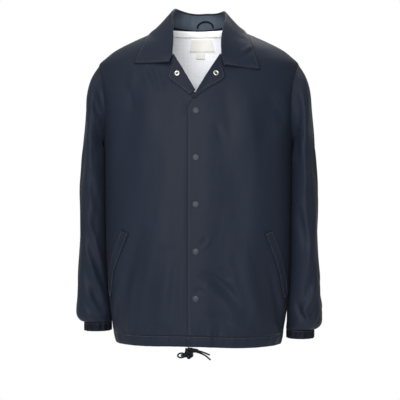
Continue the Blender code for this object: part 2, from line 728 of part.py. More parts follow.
def build_leaf(body_tree, stand_tree):
    """The turned-down leaf: it curls over the stand's top and lies on the shoulders and chest.
    Past the stand's end it curls back under itself, low beside the lapel."""
    stations = np.concatenate([-LEAF_STATIONS[::-1], LEAF_STATIONS[1:]])
    low = smoothstep(STAND_END_STATION, STAND_END_STATION + 0.8, np.abs(stations))[:, None]
    roll = both_sides(LEAF_STATIONS, roll_points)
    edge = both_sides(LEAF_STATIONS, leaf_edge_points)
    for i in np.flatnonzero(low[:, 0] > 0.5):
        roll[i], _ = clear_of(body_tree, roll[i], SHELL_CLOTH / 2 + SEAM_GAP + 0.3)
    seam = body_cloth(*neck_places())
    at = np.concatenate([-STAND_STATIONS[::-1], STAND_STATIONS[1:]])
    seam = np.stack([np.interp(stations, at, seam[:, k]) for k in range(3)], -1)
    below = seam * (1 - low) + (0.8 * roll + 0.2 * edge) * low

    along_roll = unit(np.gradient(roll, axis=0))
    over = unit(np.cross(along_roll, roll - below))
    over *= np.sign(np.sum(over * (roll * (1, 1, 0) + (0, 0, 20)), -1, keepdims=True))
    rise = np.cross(over, along_roll)
    rise *= np.sign(np.sum(rise * (roll - below), -1, keepdims=True))
    radius = COLLAR_ROLL_RADIUS - (COLLAR_ROLL_RADIUS - LOW_ROLL_RADIUS) * low
    start = roll + rise * (SEAM_GAP + 0.5)

    rows, facing = [], []
    for share in (0.0, 0.33, 0.67, 1.0, 1.25, 1.5, 1.75, 2.0):
        bend = math.pi * min(share, 1.0)
        curled = start + radius * (over * (1 - math.cos(bend)) + rise * math.sin(bend))
        down = max(share - 1.0, 0.0)
        rows.append(curled * (1 - down) + edge * down)
        facing.append(rise * math.sin(bend) - over * math.cos(bend))
    leaf, facing = np.array(rows), np.array(facing)
    for index in np.ndindex(leaf.shape[:2]):
        if index[0] > 2:
            leaf[index], facing[index] = clear_of(body_tree, leaf[index], LEAF_LIFT)
            leaf[index], _ = clear_of(stand_tree, leaf[index], LEAF_LIFT - 1)
    wall("collar_leaf", leaf, grid_normals(leaf, facing), SHELL_CLOTH, shell_nylon())


def clear_of(tree, point, lift):
    """The point, pushed out where it would lie nearer than lift to the surface, and the way out."""
    place, normal, _, distance = tree.find_nearest(Vector(point))
    height = (Vector(point) - place).dot(normal)
    beside = distance > lift and abs(height) < 0.9 * distance
    push = 0.0 if beside else max(lift - height, 0.0)
    return np.array(point) + np.array(normal) * push, np.array(normal)


def build_lapel(name, side, tree):
    """Turned-back top corner of a front: it curls round the roll line and lies on the front."""
    fold = np.stack([LAPELS[side]["fold_x"], LAPELS[side]["fold_z"]], -1)
    edge = np.stack([LAPELS[side]["edge_x"], LAPELS[side]["edge_z"]], -1)
    along = unit(np.gradient(fold, axis=0))
    into_neck = np.stack([-along[:, 1], along[:, 0]], -1)
    surface = left_front_cloth if side > 0 else body_cloth
    rows, facing = [], []
    for bend in np.radians((0, 60, 120, 180)):
        place = fold + into_neck * (SEAM_GAP + 0.3 + LAPEL_ROLL_RADIUS * math.sin(bend))
        angle = front_angle(place[:, 0] * side, place[:, 1])
        normal = outward(surface, angle, place[:, 1])
        height = LAPEL_ROLL_RADIUS * (1 - math.cos(bend))
        rows.append(surface(angle, place[:, 1]) + normal * height)
        inward = np.stack([into_neck[:, 0] * side, np.zeros(len(fold)), into_neck[:, 1]], -1)
        facing.append(inward * math.sin(bend) - normal * math.cos(bend))
    for share, lift in ((0.3, 2.8), (0.65, 2.4), (1.0, 2.2)):
        place = fold * (1 - share) + edge * share
        angle = front_angle(place[:, 0] * side, place[:, 1])
        normal = outward(surface, angle, place[:, 1])
        rows.append(lay_on(tree, surface(angle, place[:, 1]), normal, lift))
        facing.append(normal)
    lapel = np.array(rows)
    wall(name, lapel, grid_normals(lapel, np.array(facing)), SHELL_CLOTH, shell_nylon())


# Bands, lining and labels


def build_casings():
    """Hem tunnel with its gathers, a strip below each panel."""
    heights = np.array([CASING_TOP_Z, CASING_TOP_Z - 8, HEM_Z + 5, HEM_Z])[:, None]
    bulge = np.array([0.0, 1.0, 1.0, 0.15])[:, None] * CASING_BULGE
    edge = float(front_angle(FRONT_EXTENSION, HEM_Z))
    strips = (
        ("hem_casing_left", -edge, 90.0, left_front_cloth, 20),
        ("hem_casing_back", 90.0, 270.0, body_cloth, 38),
        ("hem_casing_right", -90.0, edge, body_cloth, 20),
    )
    for name, start, end, surface, columns in strips:
        angle = np.linspace(start, end, columns + 1)[None, :] + 0 * heights
        z = heights + 0 * angle
        normal = outward(surface, angle, z)
        normal[..., 2] = 0
        for column in (0, -1):
            if abs(angle[0, column]) % 180 == 90:
                normal[:, column, 1] = 0
        normal = unit(normal)
        gather = 0.5 * np.cos(np.radians(angle) * CASING_GATHERS_PER_TURN)
        off_ends = smoothstep(0, 6, angle - start) * smoothstep(0, 6, end - angle)
        relief = bulge * (0.5 + gather * off_ends)
        wall(name, surface(angle, z) + normal * relief[..., None], normal, SHELL_CLOTH, shell_nylon())


def build_cuff(side):
    """Elastic cuff with its gathers, under the sleeve's end."""
    columns = 3 * CUFF_GATHERS
    turn = np.arange(columns) * 2 * math.pi / columns
    top = SLEEVE["outer_z"][-1] - SLEEVE_STRETCH[side] - SHELL_CLOTH / 2 - SEAM_GAP
    rows = []
    for share, gather in ((0.0, 0.6), (0.5, 1.3), (1.0, 0.8)):
        wave = 1 + gather * np.cos(turn * CUFF_GATHERS) / CUFF_HALF_WIDTH
        rows.append(np.stack([
            CUFF_CENTRE_X + CUFF_HALF_WIDTH * np.cos(turn) * wave,
            CUFF_CENTRE_Y - CUFF_HALF_DEPTH * np.sin(turn) * wave,
            np.full(columns, top - share * CUFF_HEIGHT),
        ], -1))
    grid = np.array(rows)
    away = grid - grid.mean(axis=1, keepdims=True)
    normals = grid_normals(grid, away, ring=True)
    normals[..., 2] = 0
    normals = unit(normals)
    if side == "right":
        grid, normals = mirrored(grid), mirrored(normals)
    wall(f"cuff_{side}", grid, normals, DOUBLE_CLOTH, shell_nylon(), ring=True)


LINING_DEPTH = 2.4        # from the back's inner face to the lining's middle
LINING_SEAM_DEPTH = 0.9   # the same where its top and bottom edges are sewn down
LINING = table(
    "z half_angle",
    (CASING_TOP_Z + 4, 84),
    (-640, 84), (-560, 84), (-480, 84), (-400, 84), (-335, 84),
    (-285, 82), (-245, 72), (-205, 66), (-170, 64), (-140, 64), (-118, 65),
    (-100, 66), (-84, 66), (-69, 65), (-55, 64), (-42, 63), (-30, 62), (-18, 61), (-8, 60),
)
LINING_COLUMNS = 14


def build_lining(back_tree):
    """White back lining, inside the back from the neck tape down to the hem tunnel."""
    s = np.linspace(-1, 1, LINING_COLUMNS + 1)[None, :]
    angle = 180 + s * LINING["half_angle"][:, None]
    z = LINING["z"][:, None] + 0 * s
    inward = -outward(body_cloth, angle, z)
    depth = np.full(angle.shape, LINING_DEPTH)
    depth[[0, -1]] = LINING_SEAM_DEPTH
    middle = lay_on(back_tree, body_cloth(angle, z) + inward * 30, inward, depth)
    wall("back_lining", middle, grid_normals(middle, -inward), THIN_CLOTH, lining_cloth())


def inside_patch(name, tree, centre_angle, half_angle, top_z, bottom_z, finish, columns=6, rows=2):
    """A strip or label sewn to the lining's inner face."""
    angle = centre_angle + half_angle * np.linspace(-1, 1, columns + 1)[None, :]
    z = np.linspace(bottom_z, top_z, rows + 1)[:, None] + 0 * angle
    angle = angle + 0 * z
    inward = -outward(body_cloth, angle, z)
    middle = lay_on(tree, body_cloth(angle, z) + inward * 30, inward, THIN_CLOTH / 2 + SEAM_GAP + 0.5)
    wall(name, middle, grid_normals(middle, inward), THIN_CLOTH, finish)


def degrees_for(width, z):
    return math.degrees(width / 2 / float(TORSO_CURVES["back_depth"](z)))


def build_inside():
    build_lining(surface_tree(INSIDES, "back"))
    tree = surface_tree(INSIDES, "back_lining")
    inside_patch("neck_tape", tree, 180, NECK_TAPE_HALF_ANGLE, NECK_TAPE_TOP_Z,
                 NECK_TAPE_TOP_Z - NECK_TAPE_HEIGHT, lining_cloth(), 12, 1)
    half = degrees_for(LABEL_SIZE[0], LABEL_TOP_Z)
    label_bottom = LABEL_TOP_Z - LABEL_SIZE[1]
    inside_patch("label", tree, LABEL_ANGLE, half, LABEL_TOP_Z, label_bottom, label_weave())
    half = degrees_for(SIZE_TAB_SIZE[0], label_bottom)
    top = label_bottom - LABEL_SPACING
    inside_patch("size_tab", tree, SIZE_TAB_ANGLE, half, top, top - SIZE_TAB_SIZE[1], label_weave(), 3, 2)


def build_welt(name, side, tree):
    """Slanted pocket welt, laid on the front."""
    z = np.linspace(POCKET["z"][0], POCKET["z"][-1], WELT_ROWS)[:, None]
    angle = Curve(POCKET["z"], POCKET["angle"])(z)
    run_u = math.radians(POCKET["angle"][-1] - POCKET["angle"][0]) * FOLD_RADIUS
    run_z = POCKET["z"][-1] - POCKET["z"][0]
    length = math.hypot(run_u, run_z)
    across = np.linspace(-0.5, 0.5, 3)[None, :] * WELT_WIDTH
    angle = angle - np.degrees(across * run_z / length / FOLD_RADIUS)
    z = z + across * run_u / length
    normal = outward(body_cloth, side * angle, z)
    middle = lay_on(tree, body_cloth(side * angle, z), normal, SHELL_CLOTH / 2 + WELT_CLEARANCE)
    return wall(name, middle, grid_normals(middle, normal), SHELL_CLOTH, shell_nylon())


# Snaps


def turned(name, profile, place, axis, finish, segments=16):
    """A turned piece: (radius, height) pairs from the centre of its back to the centre of its front."""
    axis = Vector(axis).normalized()
    turn = axis.to_track_quat("Z", "Y").to_matrix()
    points, faces = [], []
    for radius, height in profile:
        around = 1 if radius == 0 else segments
        for k in range(around):
            swing = 2 * math.pi * k / segments
            local = Vector((radius * math.cos(swing), radius * math.sin(swing), height))
            points.append(Vector(place) + turn @ local)
    rings, start = [], 0
    for radius, _ in profile:
        around = 1 if radius == 0 else segments
        rings.append(list(range(start, start + around)))
        start += around
    for lower, upper in zip(rings, rings[1:]):
        for k in range(segments):
            following = (k + 1) % segments
            corners = [lower[k % len(lower)], lower[following % len(lower)],
                       upper[following % len(upper)], upper[k % len(upper)]]
            faces.append(list(dict.fromkeys(corners)))
    return add_object(name, points, faces, finish)


CAP_PROFILE = ((0, 0), (CAP_RADIUS - 0.4, 0), (CAP_RADIUS, 0.5), (CAP_RADIUS, 1.2),
               (CAP_RADIUS - 0.9, 1.9), (CAP_RADIUS - 3.5, CAP_HEIGHT - 0.1), (0, CAP_HEIGHT))
SOCKET_PROFILE = ((0, 0), (RING_RADIUS, 0), (RING_RADIUS, 0.8), (RING_RADIUS - 1.0, 1.8),
                  (RING_RADIUS - 2.6, 1.8), (RING_RADIUS - 3.2, 0.7), (0, 0.7))
STUD_PROFILE = ((0, 0), (RING_RADIUS, 0), (RING_RADIUS, 0.8), (RING_RADIUS - 1.2, 1.3),
                (RING_RADIUS - 3.6, 1.3), (RING_RADIUS - 3.6, 3.0), (RING_RADIUS - 4.2, 3.6), (0, 3.6))


def seat_of(tree, x, z, radius):
    """Where a flat round piece sits on the front at x and z, and the way it faces."""
    surface = left_front_cloth if x > -FRONT_EXTENSION else body_cloth
    angle = front_angle(x, z)
    axis = outward(surface, angle, np.asarray(z, float))
    middle = lay_on(tree, surface(angle, z), axis, 0.0)
    highest = 0.0
    for k in range(12):
        swing = math.tau * k / 12
        rim_x, rim_z = x + radius * math.cos(swing), z + radius * math.sin(swing)
        rim = lay_on(tree, surface(front_angle(rim_x, rim_z), rim_z), axis, 0.0)
        highest = max(highest, float((rim - middle) @ axis))
    return middle + axis * (highest + SEAM_GAP), axis


def build_snaps(panel_tree):
    for i in range(SNAP_COUNT):
        place, axis = seat_of(panel_tree, 0.0, TOP_SNAP_Z - i * SNAP_SPACING, CAP_RADIUS)
        turned(f"snap_cap_{i + 1}", CAP_PROFILE, place, axis, snap_enamel())
    x, z = RING_SNAP_PLACE
    for name, side, lapel, profile in (("snap_socket", -1, "lapel_right", SOCKET_PROFILE),
                                       ("snap_stud", 1, "lapel_left", STUD_PROFILE)):
        place, axis = seat_of(surface_tree(OUTSIDES, lapel), side * x, z, RING_RADIUS)
        turned(name, profile, place, axis, snap_nickel())


# Cords

KNOT_CENTRE = (-15.5, -143.0, -760.5)
KNOT_HALF_SIZE = (9.5, 6.4, 11.8)
KNOT_RIDGE = 0.09             # height of the wound strands, as a share of the knot's size
KNOT_NECK = (2.0, 2.2)        # how far the knot's top leans and rises towards the hem
CORD_ROUTES = {
    "drawcord_end_lower": ((-5.0, -143.2, -756.4), (1, -143.4, -756.6), (7.5, -143.8, -758.4),
                           (14.5, -144.4, -760.8), (21, -145, -764.2), (27.5, -145.4, -769),
                           (33.5, -145.6, -774.5)),
    "drawcord_end_upper": ((-7.0, -146.3, -751.4), (0, -147.4, -751.9), (8, -148, -754), (16, -148.4, -756.4),
                           (24, -148.8, -759.4), (32, -149, -762.8)),
    "drawcord_bow": ((-27.2, -144.5, -760), (-32, -146.5, -759), (-37.5, -147.5, -760.2),
                     (-40.6, -147, -764.2), (-38.5, -144.8, -768.2), (-33, -143.2, -769.4),
                     (-27.0, -142.4, -768.2)),
}
HANGER_ROUTE = table("x z", (-6, -1.5), (-5.4, 3), (-1.5, 8.5), (5, 12.4), (13, 13.8), (21, 12.4),
                     (27.5, 8.5), (31.4, 3), (32, -1.5))


def smooth_route(points, spacing):
    """Points read at an even spacing from a smooth curve through a route's own points."""
    points = np.array(points, float)
    at = np.concatenate([[0], np.cumsum(np.linalg.norm(np.diff(points, axis=0), axis=1))])
    count = max(4, round(at[-1] / spacing))
    places = np.linspace(0, at[-1], count + 1)
    return np.stack([Curve(at, points[:, k])(places) for k in range(3)], -1)


def tube(name, route, diameter, finish, resolution=2):
    """A cord as a bevelled curve with filled caps."""
    curve = bpy.data.curves.new(name, "CURVE")
    curve.dimensions = "3D"
    curve.bevel_depth = diameter / 2 * MM
    curve.bevel_resolution = resolution
    curve.use_fill_caps = True
    points = smooth_route(route, 2.2 * diameter)
    spline = curve.splines.new("POLY")
    spline.points.add(len(points) - 1)
    for target, point in zip(spline.points, points):
        target.co = (*(Vector(point) * MM), 1.0)
    curve.materials.append(finish)
    made = bpy.data.objects.new(name, curve)
    bpy.context.scene.collection.objects.link(made)
    return made


def build_hanger():
    """Hanger loop of round cord, standing against the stand's inner face."""
    tree = surface_tree(INSIDES, "collar_stand")
    route = []
    for x, z in zip(HANGER_ROUTE["x"], HANGER_ROUTE["z"]):
        back = min(tree.ray_cast(Vector((x + dx, 0, z)), Vector((0, 1, 0)))[0].y for dx in (-2, 0, 2))
        route.append((x, back - HANGER_DIAMETER / 2 - SEAM_GAP - 0.3, z))
    tube("hanger_loop", route, HANGER_DIAMETER, cord_braid())


def build_knot():
    """The drawcord's knot, with the two strands that come down to it from the hem."""
    mesh = bmesh.new()
    bmesh.ops.create_icosphere(mesh, subdivisions=3, radius=1.0)
    for vertex in mesh.verts:
        direction = vertex.co.normalized()
        swing = math.atan2(direction.x, direction.z)
        ridge = 1 + KNOT_RIDGE * math.cos(3 * swing + 5 * direction.y)
        up = max(0.0, direction.z - 0.6) / 0.4
        vertex.co = Vector((
            KNOT_CENTRE[0] + KNOT_HALF_SIZE[0] * direction.x * ridge,
            KNOT_CENTRE[1] + KNOT_HALF_SIZE[1] * direction.y * ridge,
            KNOT_CENTRE[2] + KNOT_HALF_SIZE[2] * direction.z * ridge + up * KNOT_NECK[1],
        )) * MM
        vertex.co.x += up * KNOT_NECK[0] * MM
    data = bpy.data.meshes.new("drawcord_knot")
    mesh.to_mesh(data)
    mesh.free()
    data.materials.append(cord_braid())
    data.shade_smooth()
    made = bpy.data.objects.new("drawcord_knot", data)
    bpy.context.scene.collection.objects.link(made)


def clear_scene():
    for existing in list(bpy.data.objects):
        bpy.data.objects.remove(existing)


def main():
    clear_scene()
    build_body()
    body_tree = surface_tree(OUTSIDES, "front_left", "front_right", "back")
    build_leaf(body_tree, surface_tree(OUTSIDES, "collar_stand"))
    build_lapel("lapel_left", 1, surface_tree(OUTSIDES, "front_left"))
    build_lapel("lapel_right", -1, surface_tree(OUTSIDES, "front_right"))
    build_casings()
    for side in ("left", "right"):
        build_cuff(side)
    build_inside()
    build_welt("pocket_welt_left", 1, body_tree)
    build_welt("pocket_welt_right", -1, body_tree)
    build_snaps(body_tree)
    build_knot()
    for name, route in CORD_ROUTES.items():
        tube(name, route, CORD_DIAMETER, cord_braid())
    build_hanger()


main()
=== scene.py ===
# %% [markdown]
# A coach jacket in thin navy nylon, filled out as if it were worn, with the neck folded open.
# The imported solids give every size. This lesson dresses them: it rounds the cloth, adds the
# creases and the sewing, and gives each surface its own finish.

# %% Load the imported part
import math

import bmesh
import bpy
import numpy as np
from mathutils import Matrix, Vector, kdtree, noise


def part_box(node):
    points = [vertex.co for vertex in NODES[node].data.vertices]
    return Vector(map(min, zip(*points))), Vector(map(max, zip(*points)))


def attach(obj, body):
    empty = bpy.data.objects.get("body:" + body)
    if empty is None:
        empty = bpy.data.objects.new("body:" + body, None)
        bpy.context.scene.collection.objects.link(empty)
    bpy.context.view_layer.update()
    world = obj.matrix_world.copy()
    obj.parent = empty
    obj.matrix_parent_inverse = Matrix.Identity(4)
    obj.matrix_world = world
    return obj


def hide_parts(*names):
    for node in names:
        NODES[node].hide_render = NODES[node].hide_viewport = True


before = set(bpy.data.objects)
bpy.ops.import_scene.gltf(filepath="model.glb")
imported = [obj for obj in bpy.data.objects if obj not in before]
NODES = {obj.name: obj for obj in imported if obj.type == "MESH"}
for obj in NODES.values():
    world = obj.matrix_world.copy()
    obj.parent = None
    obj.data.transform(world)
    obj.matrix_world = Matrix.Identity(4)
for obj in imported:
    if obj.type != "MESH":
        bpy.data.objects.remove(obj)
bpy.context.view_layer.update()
MM = 0.001
print("nodes:", len(NODES))

# %% [markdown]
# The camera comes first, because the creases are placed by what it sees. The photo looks at the
# jacket almost level and from a touch to the wearer's left. The distance, the height and the
# width of the view were worked out from the sleeves, the hem and the snaps.

# %% Set the camera
PHOTO_SIDE = 400
CAMERA_DISTANCE = 3.0
CAMERA_AZIMUTH = math.radians(2.5)
HORIZON_Z = -0.415
VIEW_WIDTH = 0.944          # what the photo spans at the jacket's middle
MIDDLE_PIXEL = 198.7        # where the jacket's centre line falls
SENSOR_WIDTH = 36.0

RIGHT = Vector((math.cos(CAMERA_AZIMUTH), math.sin(CAMERA_AZIMUTH), 0))
FORWARD = Vector((-math.sin(CAMERA_AZIMUTH), math.cos(CAMERA_AZIMUTH), 0))
UP = Vector((0, 0, 1))


def shown(made):
    """A new object, put in the scene."""
    bpy.context.scene.collection.objects.link(made)
    return made


METRES_PER_PIXEL = VIEW_WIDTH / PHOTO_SIDE
side_step = (PHOTO_SIDE / 2 - MIDDLE_PIXEL) * METRES_PER_PIXEL
EYE = -FORWARD * CAMERA_DISTANCE + RIGHT * side_step + UP * HORIZON_Z

lens = bpy.data.cameras.new("camera")
lens.sensor_width = SENSOR_WIDTH
lens.lens = SENSOR_WIDTH * CAMERA_DISTANCE / VIEW_WIDTH
camera = shown(bpy.data.objects.new("camera", lens))
camera.location = EYE
camera.rotation_euler = (math.pi / 2, 0, CAMERA_AZIMUTH)
bpy.context.scene.camera = camera


def sight_line(px, py):
    """Where the camera stands and which way it looks through one pixel of the photo."""
    across = (px - PHOTO_SIDE / 2) * METRES_PER_PIXEL
    up = (PHOTO_SIDE / 2 - py) * METRES_PER_PIXEL
    return EYE, (FORWARD * CAMERA_DISTANCE + RIGHT * across + UP * up).normalized()


print("lens:", round(lens.lens, 1), "mm")

# %% [markdown]
# A material is a small graph of nodes. Written as links and sockets it is hard to read, so one
# class stands for a node's output and lets Python's own signs do the sums. One method adds any
# other node. The numbers that are the same all over a surface are set on the shader itself.

# %% A socket that can be added and multiplied


class Wire:
    """The output of a node in one finish."""

    def __init__(self, finish, socket):
        self.finish = finish
        self.socket = socket

    def sum(self, operation, first, second):
        return self.finish.add("Math", {"operation": operation}, {0: first, 1: second})

    def __add__(self, other):
        return self.sum("ADD", self, other)

    __radd__ = __add__

    def __sub__(self, other):
        return self.sum("SUBTRACT", self, other)

    def __rsub__(self, other):
        return self.sum("SUBTRACT", other, self)

    def __mul__(self, other):
        return self.sum("MULTIPLY", self, other)

    __rmul__ = __mul__

    def __pow__(self, other):
        return self.sum("POWER", self, other)

    def __rpow__(self, other):
        return self.sum("POWER", other, self)


class Finish:
    """One material, and the one way in which its nodes are added."""

    def __init__(self, name, **constants):
        self.material = bpy.data.materials.new(name)
        self.material.use_nodes = True
        self.tree = self.material.node_tree
        self.shader = self.tree.nodes["Principled BSDF"]
        for label, value in constants.items():
            self.shader.inputs[label.replace("_", " ")].default_value = value

    def feed(self, socket, value):
        if isinstance(value, Wire):
            self.tree.links.new(value.socket, socket)
        else:
            socket.default_value = value

    def add(self, kind, settings=None, values=None, output=0):
        node = self.tree.nodes.new("ShaderNode" + kind)
        for key, value in (settings or {}).items():
            setattr(node, key, value)
        for key, value in (values or {}).items():
            self.feed(node.inputs[key], value)
        return Wire(self, node.outputs[output])

    def blend(self, factor, first, second):
        """One colour turning into another as factor goes from 0 to 1."""
        return self.add("Mix", {"data_type": "RGBA"}, {0: factor, 6: first, 7: second}, output=2)

    def grain(self, scale, detail=2.0, stretch=(1, 1, 1)):
        """Cloudy noise, from 0 to 1, in the object's own metres."""
        place = self.add("TexCoord", output=3)
        stretched = self.add("Mapping", None, {"Vector": place, "Scale": stretch})
        return self.add("TexNoise", None, {"Vector": stretched, "Scale": scale, "Detail": detail})

    def threads(self, scale, direction):
        """Parallel bands, from 0 to 1: 20 / tau of them a metre for each unit of scale."""
        place = self.add("TexCoord", output=3)
        settings = {"wave_type": "BANDS", "bands_direction": direction, "wave_profile": "SIN"}
        return self.add("TexWave", settings, {"Vector": place, "Scale": scale})

    def set(self, **links):
        for label, value in links.items():
            self.feed(self.shader.inputs[label.replace("_", " ")], value)
        return self.material

    def bumped(self, height, distance, strength=1.0):
        bump = self.add("Bump", None, {"Strength": strength, "Distance": distance, "Height": height})
        self.feed(self.shader.inputs["Normal"], bump)


def shade(red, green, blue):
    """A colour as it reads in the photo, 0 to 255, turned into the shader's linear light."""
    parts = [value / 255 for value in (red, green, blue)]
    return (*[p / 12.92 if p < 0.04045 else ((p + 0.055) / 1.055) ** 2.4 for p in parts], 1)


# %% [markdown]
# The shell is a plain-woven nylon with a dull shine. Its yarns are finer than a quarter of a
# millimetre, too fine to draw, so a trace of wider bands stands for them. What shows from a step
# away is a faint crinkle, and near the seams the thread pulls the cloth into small puckers. There
# the colour is darkened too, as painted shade for the seams' grooves. A stored value, "seam",
# says how near each point is to an edge.

# %% Make the nylon finishes
# Painted shade: near every edge the cloth darkens towards this colour, for the grooves and puckers of the
# seams.
SEAM_PAINTED_SHADE = shade(18, 22, 31)      # what the cloth darkens towards beside a seam
SEAM_PAINTED_SHADE_SHARE = 0.35
BAND_SCALE = 128.28                 # bands 2.4 mm apart
CRINKLE_DEPTH = 1.1 * MM


def nylon(name, dark, light, roughness=0.54):
    finish = Finish(name, IOR=1.5, Specular_IOR_Level=0.06, Sheen_Weight=0.01, Sheen_Roughness=0.35)
    seam = finish.add("Attribute", {"attribute_name": "seam"}, output=2)
    cloud = finish.grain(9.0, 3.0, (1, 1, 0.5))
    crinkle = finish.grain(70.0, 3.0, (1, 1, 0.45))
    pucker = finish.grain(160.0, 1.0, (1, 1, 1))
    weave = finish.threads(BAND_SCALE, "Z") + finish.threads(BAND_SCALE, "X")
    tone = finish.blend(cloud, dark, light)
    # Painted seam shade: the colour darkens near each edge.
    edge = finish.add("Math", {"operation": "MULTIPLY", "use_clamp": True}, {0: seam, 1: SEAM_PAINTED_SHADE_SHARE})
    finish.bumped(crinkle * 0.8 + pucker * seam * 1.2 + weave * 0.02, CRINKLE_DEPTH, 0.6)
    return finish.set(Base_Color=finish.blend(edge, tone, SEAM_PAINTED_SHADE),
                      Roughness=crinkle * 0.10 + (roughness - 0.05))


SHELL = nylon("navy_nylon", shade(21, 26, 36), shade(26, 31, 41))
# The cuffs are the shell nylon painted darker, as painted shade for the low, gathered cuffs.
CUFF_PAINTED_SHADE = nylon("navy_nylon_cuff_painted_shade", shade(9, 12, 17), shade(14, 18, 25), 0.6)
# The collar stand is the shell nylon painted lighter: painted light and sheen where the stand faces the
# lamps.
STAND_PAINTED_LIGHT = nylon("navy_nylon_painted_light", shade(60, 69, 79), shade(74, 83, 93), 0.46)
print("nylon finishes:", SHELL.name, CUFF_PAINTED_SHADE.name, STAND_PAINTED_LIGHT.name)

# %% [markdown]
# Inside the neck the jacket is white. The lining is a matt knit with rows of holes, the tape over
# the neck seam is closer, and the label is a dense weave. Two sets of bands that cross, one upright
# and one level, give each its pattern at its own scale. The label stays bare.

# %% Make the white finishes
HOLE_AND_SEAM_SHADE_SHARE = 0.86                   # how much of its light the cloth keeps between the threads


def white_cloth(name, colour, band_scale, depth, roughness=0.85):
    finish = Finish(name, IOR=1.45, Sheen_Weight=0.2, Sheen_Roughness=0.5)
    seam = finish.add("Attribute", {"attribute_name": "seam"}, output=2)
    knit = finish.threads(band_scale, "Z") * finish.threads(band_scale, "X")
    cloud = finish.grain(14.0, 2.0)
    holes_and_seam_shade = tuple(part * HOLE_AND_SEAM_SHADE_SHARE for part in colour[:3]) + (1,)
    finish.bumped(knit + cloud * 0.6, depth, 0.5)
    # Near its edges the colour darkens a little, as painted shade at the seams; on the label this also stands
    # for its woven border.
    return finish.set(Base_Color=finish.blend(knit * 0.3 + seam * 0.25, colour, holes_and_seam_shade),
                      Roughness=cloud * 0.08 + (roughness - 0.04))


LINING = white_cloth("white_lining_knit", shade(243, 245, 250), 34.54, 0.3 * MM)
TAPE = white_cloth("white_neck_tape", shade(252, 252, 254), 59.21, 0.2 * MM)
LABEL = white_cloth("off_white_label", shade(233, 232, 226), 118.41, 0.1 * MM, 0.6)
print("white finishes:", LINING.name, TAPE.name, LABEL.name)

# %% [markdown]
# Thread, enamelled and plated metal and black braid are small here. One recipe serves them all:
# cloudy noise mottles the colour and the roughness a little, and a fine bump breaks up the shine.

# %% Make the thread, metal and cord finishes


def plain_finish(name, dark, light, roughness, scale, depth, **constants):
    finish = Finish(name, **constants)
    cloud = finish.grain(scale, 3.0)
    finish.bumped(cloud, depth, 0.5)
    return finish.set(Base_Color=finish.blend(cloud, dark, light),
                      Roughness=cloud * 0.12 + (roughness - 0.06))


THREAD = plain_finish("navy_thread", shade(27, 32, 43), shade(42, 48, 60), 0.6, 900.0, 0.2 * MM,
                      Sheen_Weight=0.2)
LABEL_THREAD = plain_finish("white_thread", shade(225, 225, 222), shade(246, 246, 244), 0.7, 900.0, 0.2 * MM)
CAP = plain_finish("navy_enamel", shade(29, 34, 42), shade(37, 42, 51), 0.5, 300.0, 0.05 * MM,
                   Specular_IOR_Level=0.2, Coat_Weight=0.02)
NICKEL = plain_finish("nickel_plate", shade(158, 156, 149), shade(182, 181, 176), 0.34, 260.0, 0.04 * MM,
                      Metallic=1.0)
WELL = plain_finish("dark_steel", shade(62, 58, 52), shade(84, 80, 73), 0.5, 260.0, 0.04 * MM, Metallic=1.0)
CORD = plain_finish("black_navy_braid", shade(8, 10, 14), shade(15, 17, 23), 0.8, 700.0, 0.3 * MM,
                    Specular_IOR_Level=0.12)
print("small finishes:", THREAD.name, CAP.name, NICKEL.name, WELL.name, CORD.name)

# %% [markdown]
# The solids are faceted, and cloth isn't. Each cloth piece starts as a copy of its own solid, with
# its triangles paired into four-sided faces, and a subdivision surface rounds it. That surface
# shrinks a little from its corners, so the corners are first moved out by what it would lose.

# %% Round a solid into cloth
RIM_ANGLE = math.radians(65)      # a sharper fold between two faces is the cloth's own edge
RIM_GROWTH = 0.32 * MM            # closes the solids' small gaps at the seams
SAME_PLACE = 0.01 * MM
PAIR_ANGLE = math.radians(35)     # how flat two triangles lie, to be paired
PAIR_SHAPE = math.radians(70)
FIT_ROUNDS = 2


def coords(mesh):
    flat = np.zeros(len(mesh.vertices) * 3, np.float32)
    mesh.vertices.foreach_get("co", flat)
    return flat.reshape(-1, 3).astype(float)


def set_coords(mesh, points):
    mesh.vertices.foreach_set("co", points.astype(np.float32).ravel())
    mesh.update()


def subdivided(mesh, levels):
    """A new mesh: the given one after Blender's subdivision surface."""
    working = shown(bpy.data.objects.new("subdividing", mesh))
    modifier = working.modifiers.new("round", "SUBSURF")
    modifier.levels = levels
    depsgraph = bpy.context.evaluated_depsgraph_get()
    made = bpy.data.meshes.new_from_object(working.evaluated_get(depsgraph))
    bpy.data.objects.remove(working)
    return made


def control_cage(node):
    """A node's own points as a mesh of mostly four-sided faces, and its rim edges."""
    cage = bmesh.new()
    cage.from_mesh(NODES[node].data)
    bmesh.ops.remove_doubles(cage, verts=cage.verts, dist=SAME_PLACE)
    bmesh.ops.join_triangles(cage, faces=cage.faces, angle_face_threshold=PAIR_ANGLE,
                             angle_shape_threshold=PAIR_SHAPE)
    crease = cage.edges.layers.float.new("crease_edge")
    rims = []
    for edge in cage.edges:
        if len(edge.link_faces) == 2 and edge.calc_face_angle(0) > RIM_ANGLE:
            edge[crease] = 1.0
            rims.append([list(v.co) for v in edge.verts])
    pushes = {}
    for face in cage.faces:
        if sum(edge[crease] > 0 for edge in face.edges) >= 2:
            for corner in face.verts:
                pushes[corner] = pushes.get(corner, Vector()) + face.normal
    for corner, push in pushes.items():
        corner.co += push.normalized() * RIM_GROWTH
    mesh = bpy.data.meshes.new(node + "_cloth")
    cage.to_mesh(mesh)
    cage.free()
    return mesh, np.array(rims)


CLOTH = {}
RIMS = {}


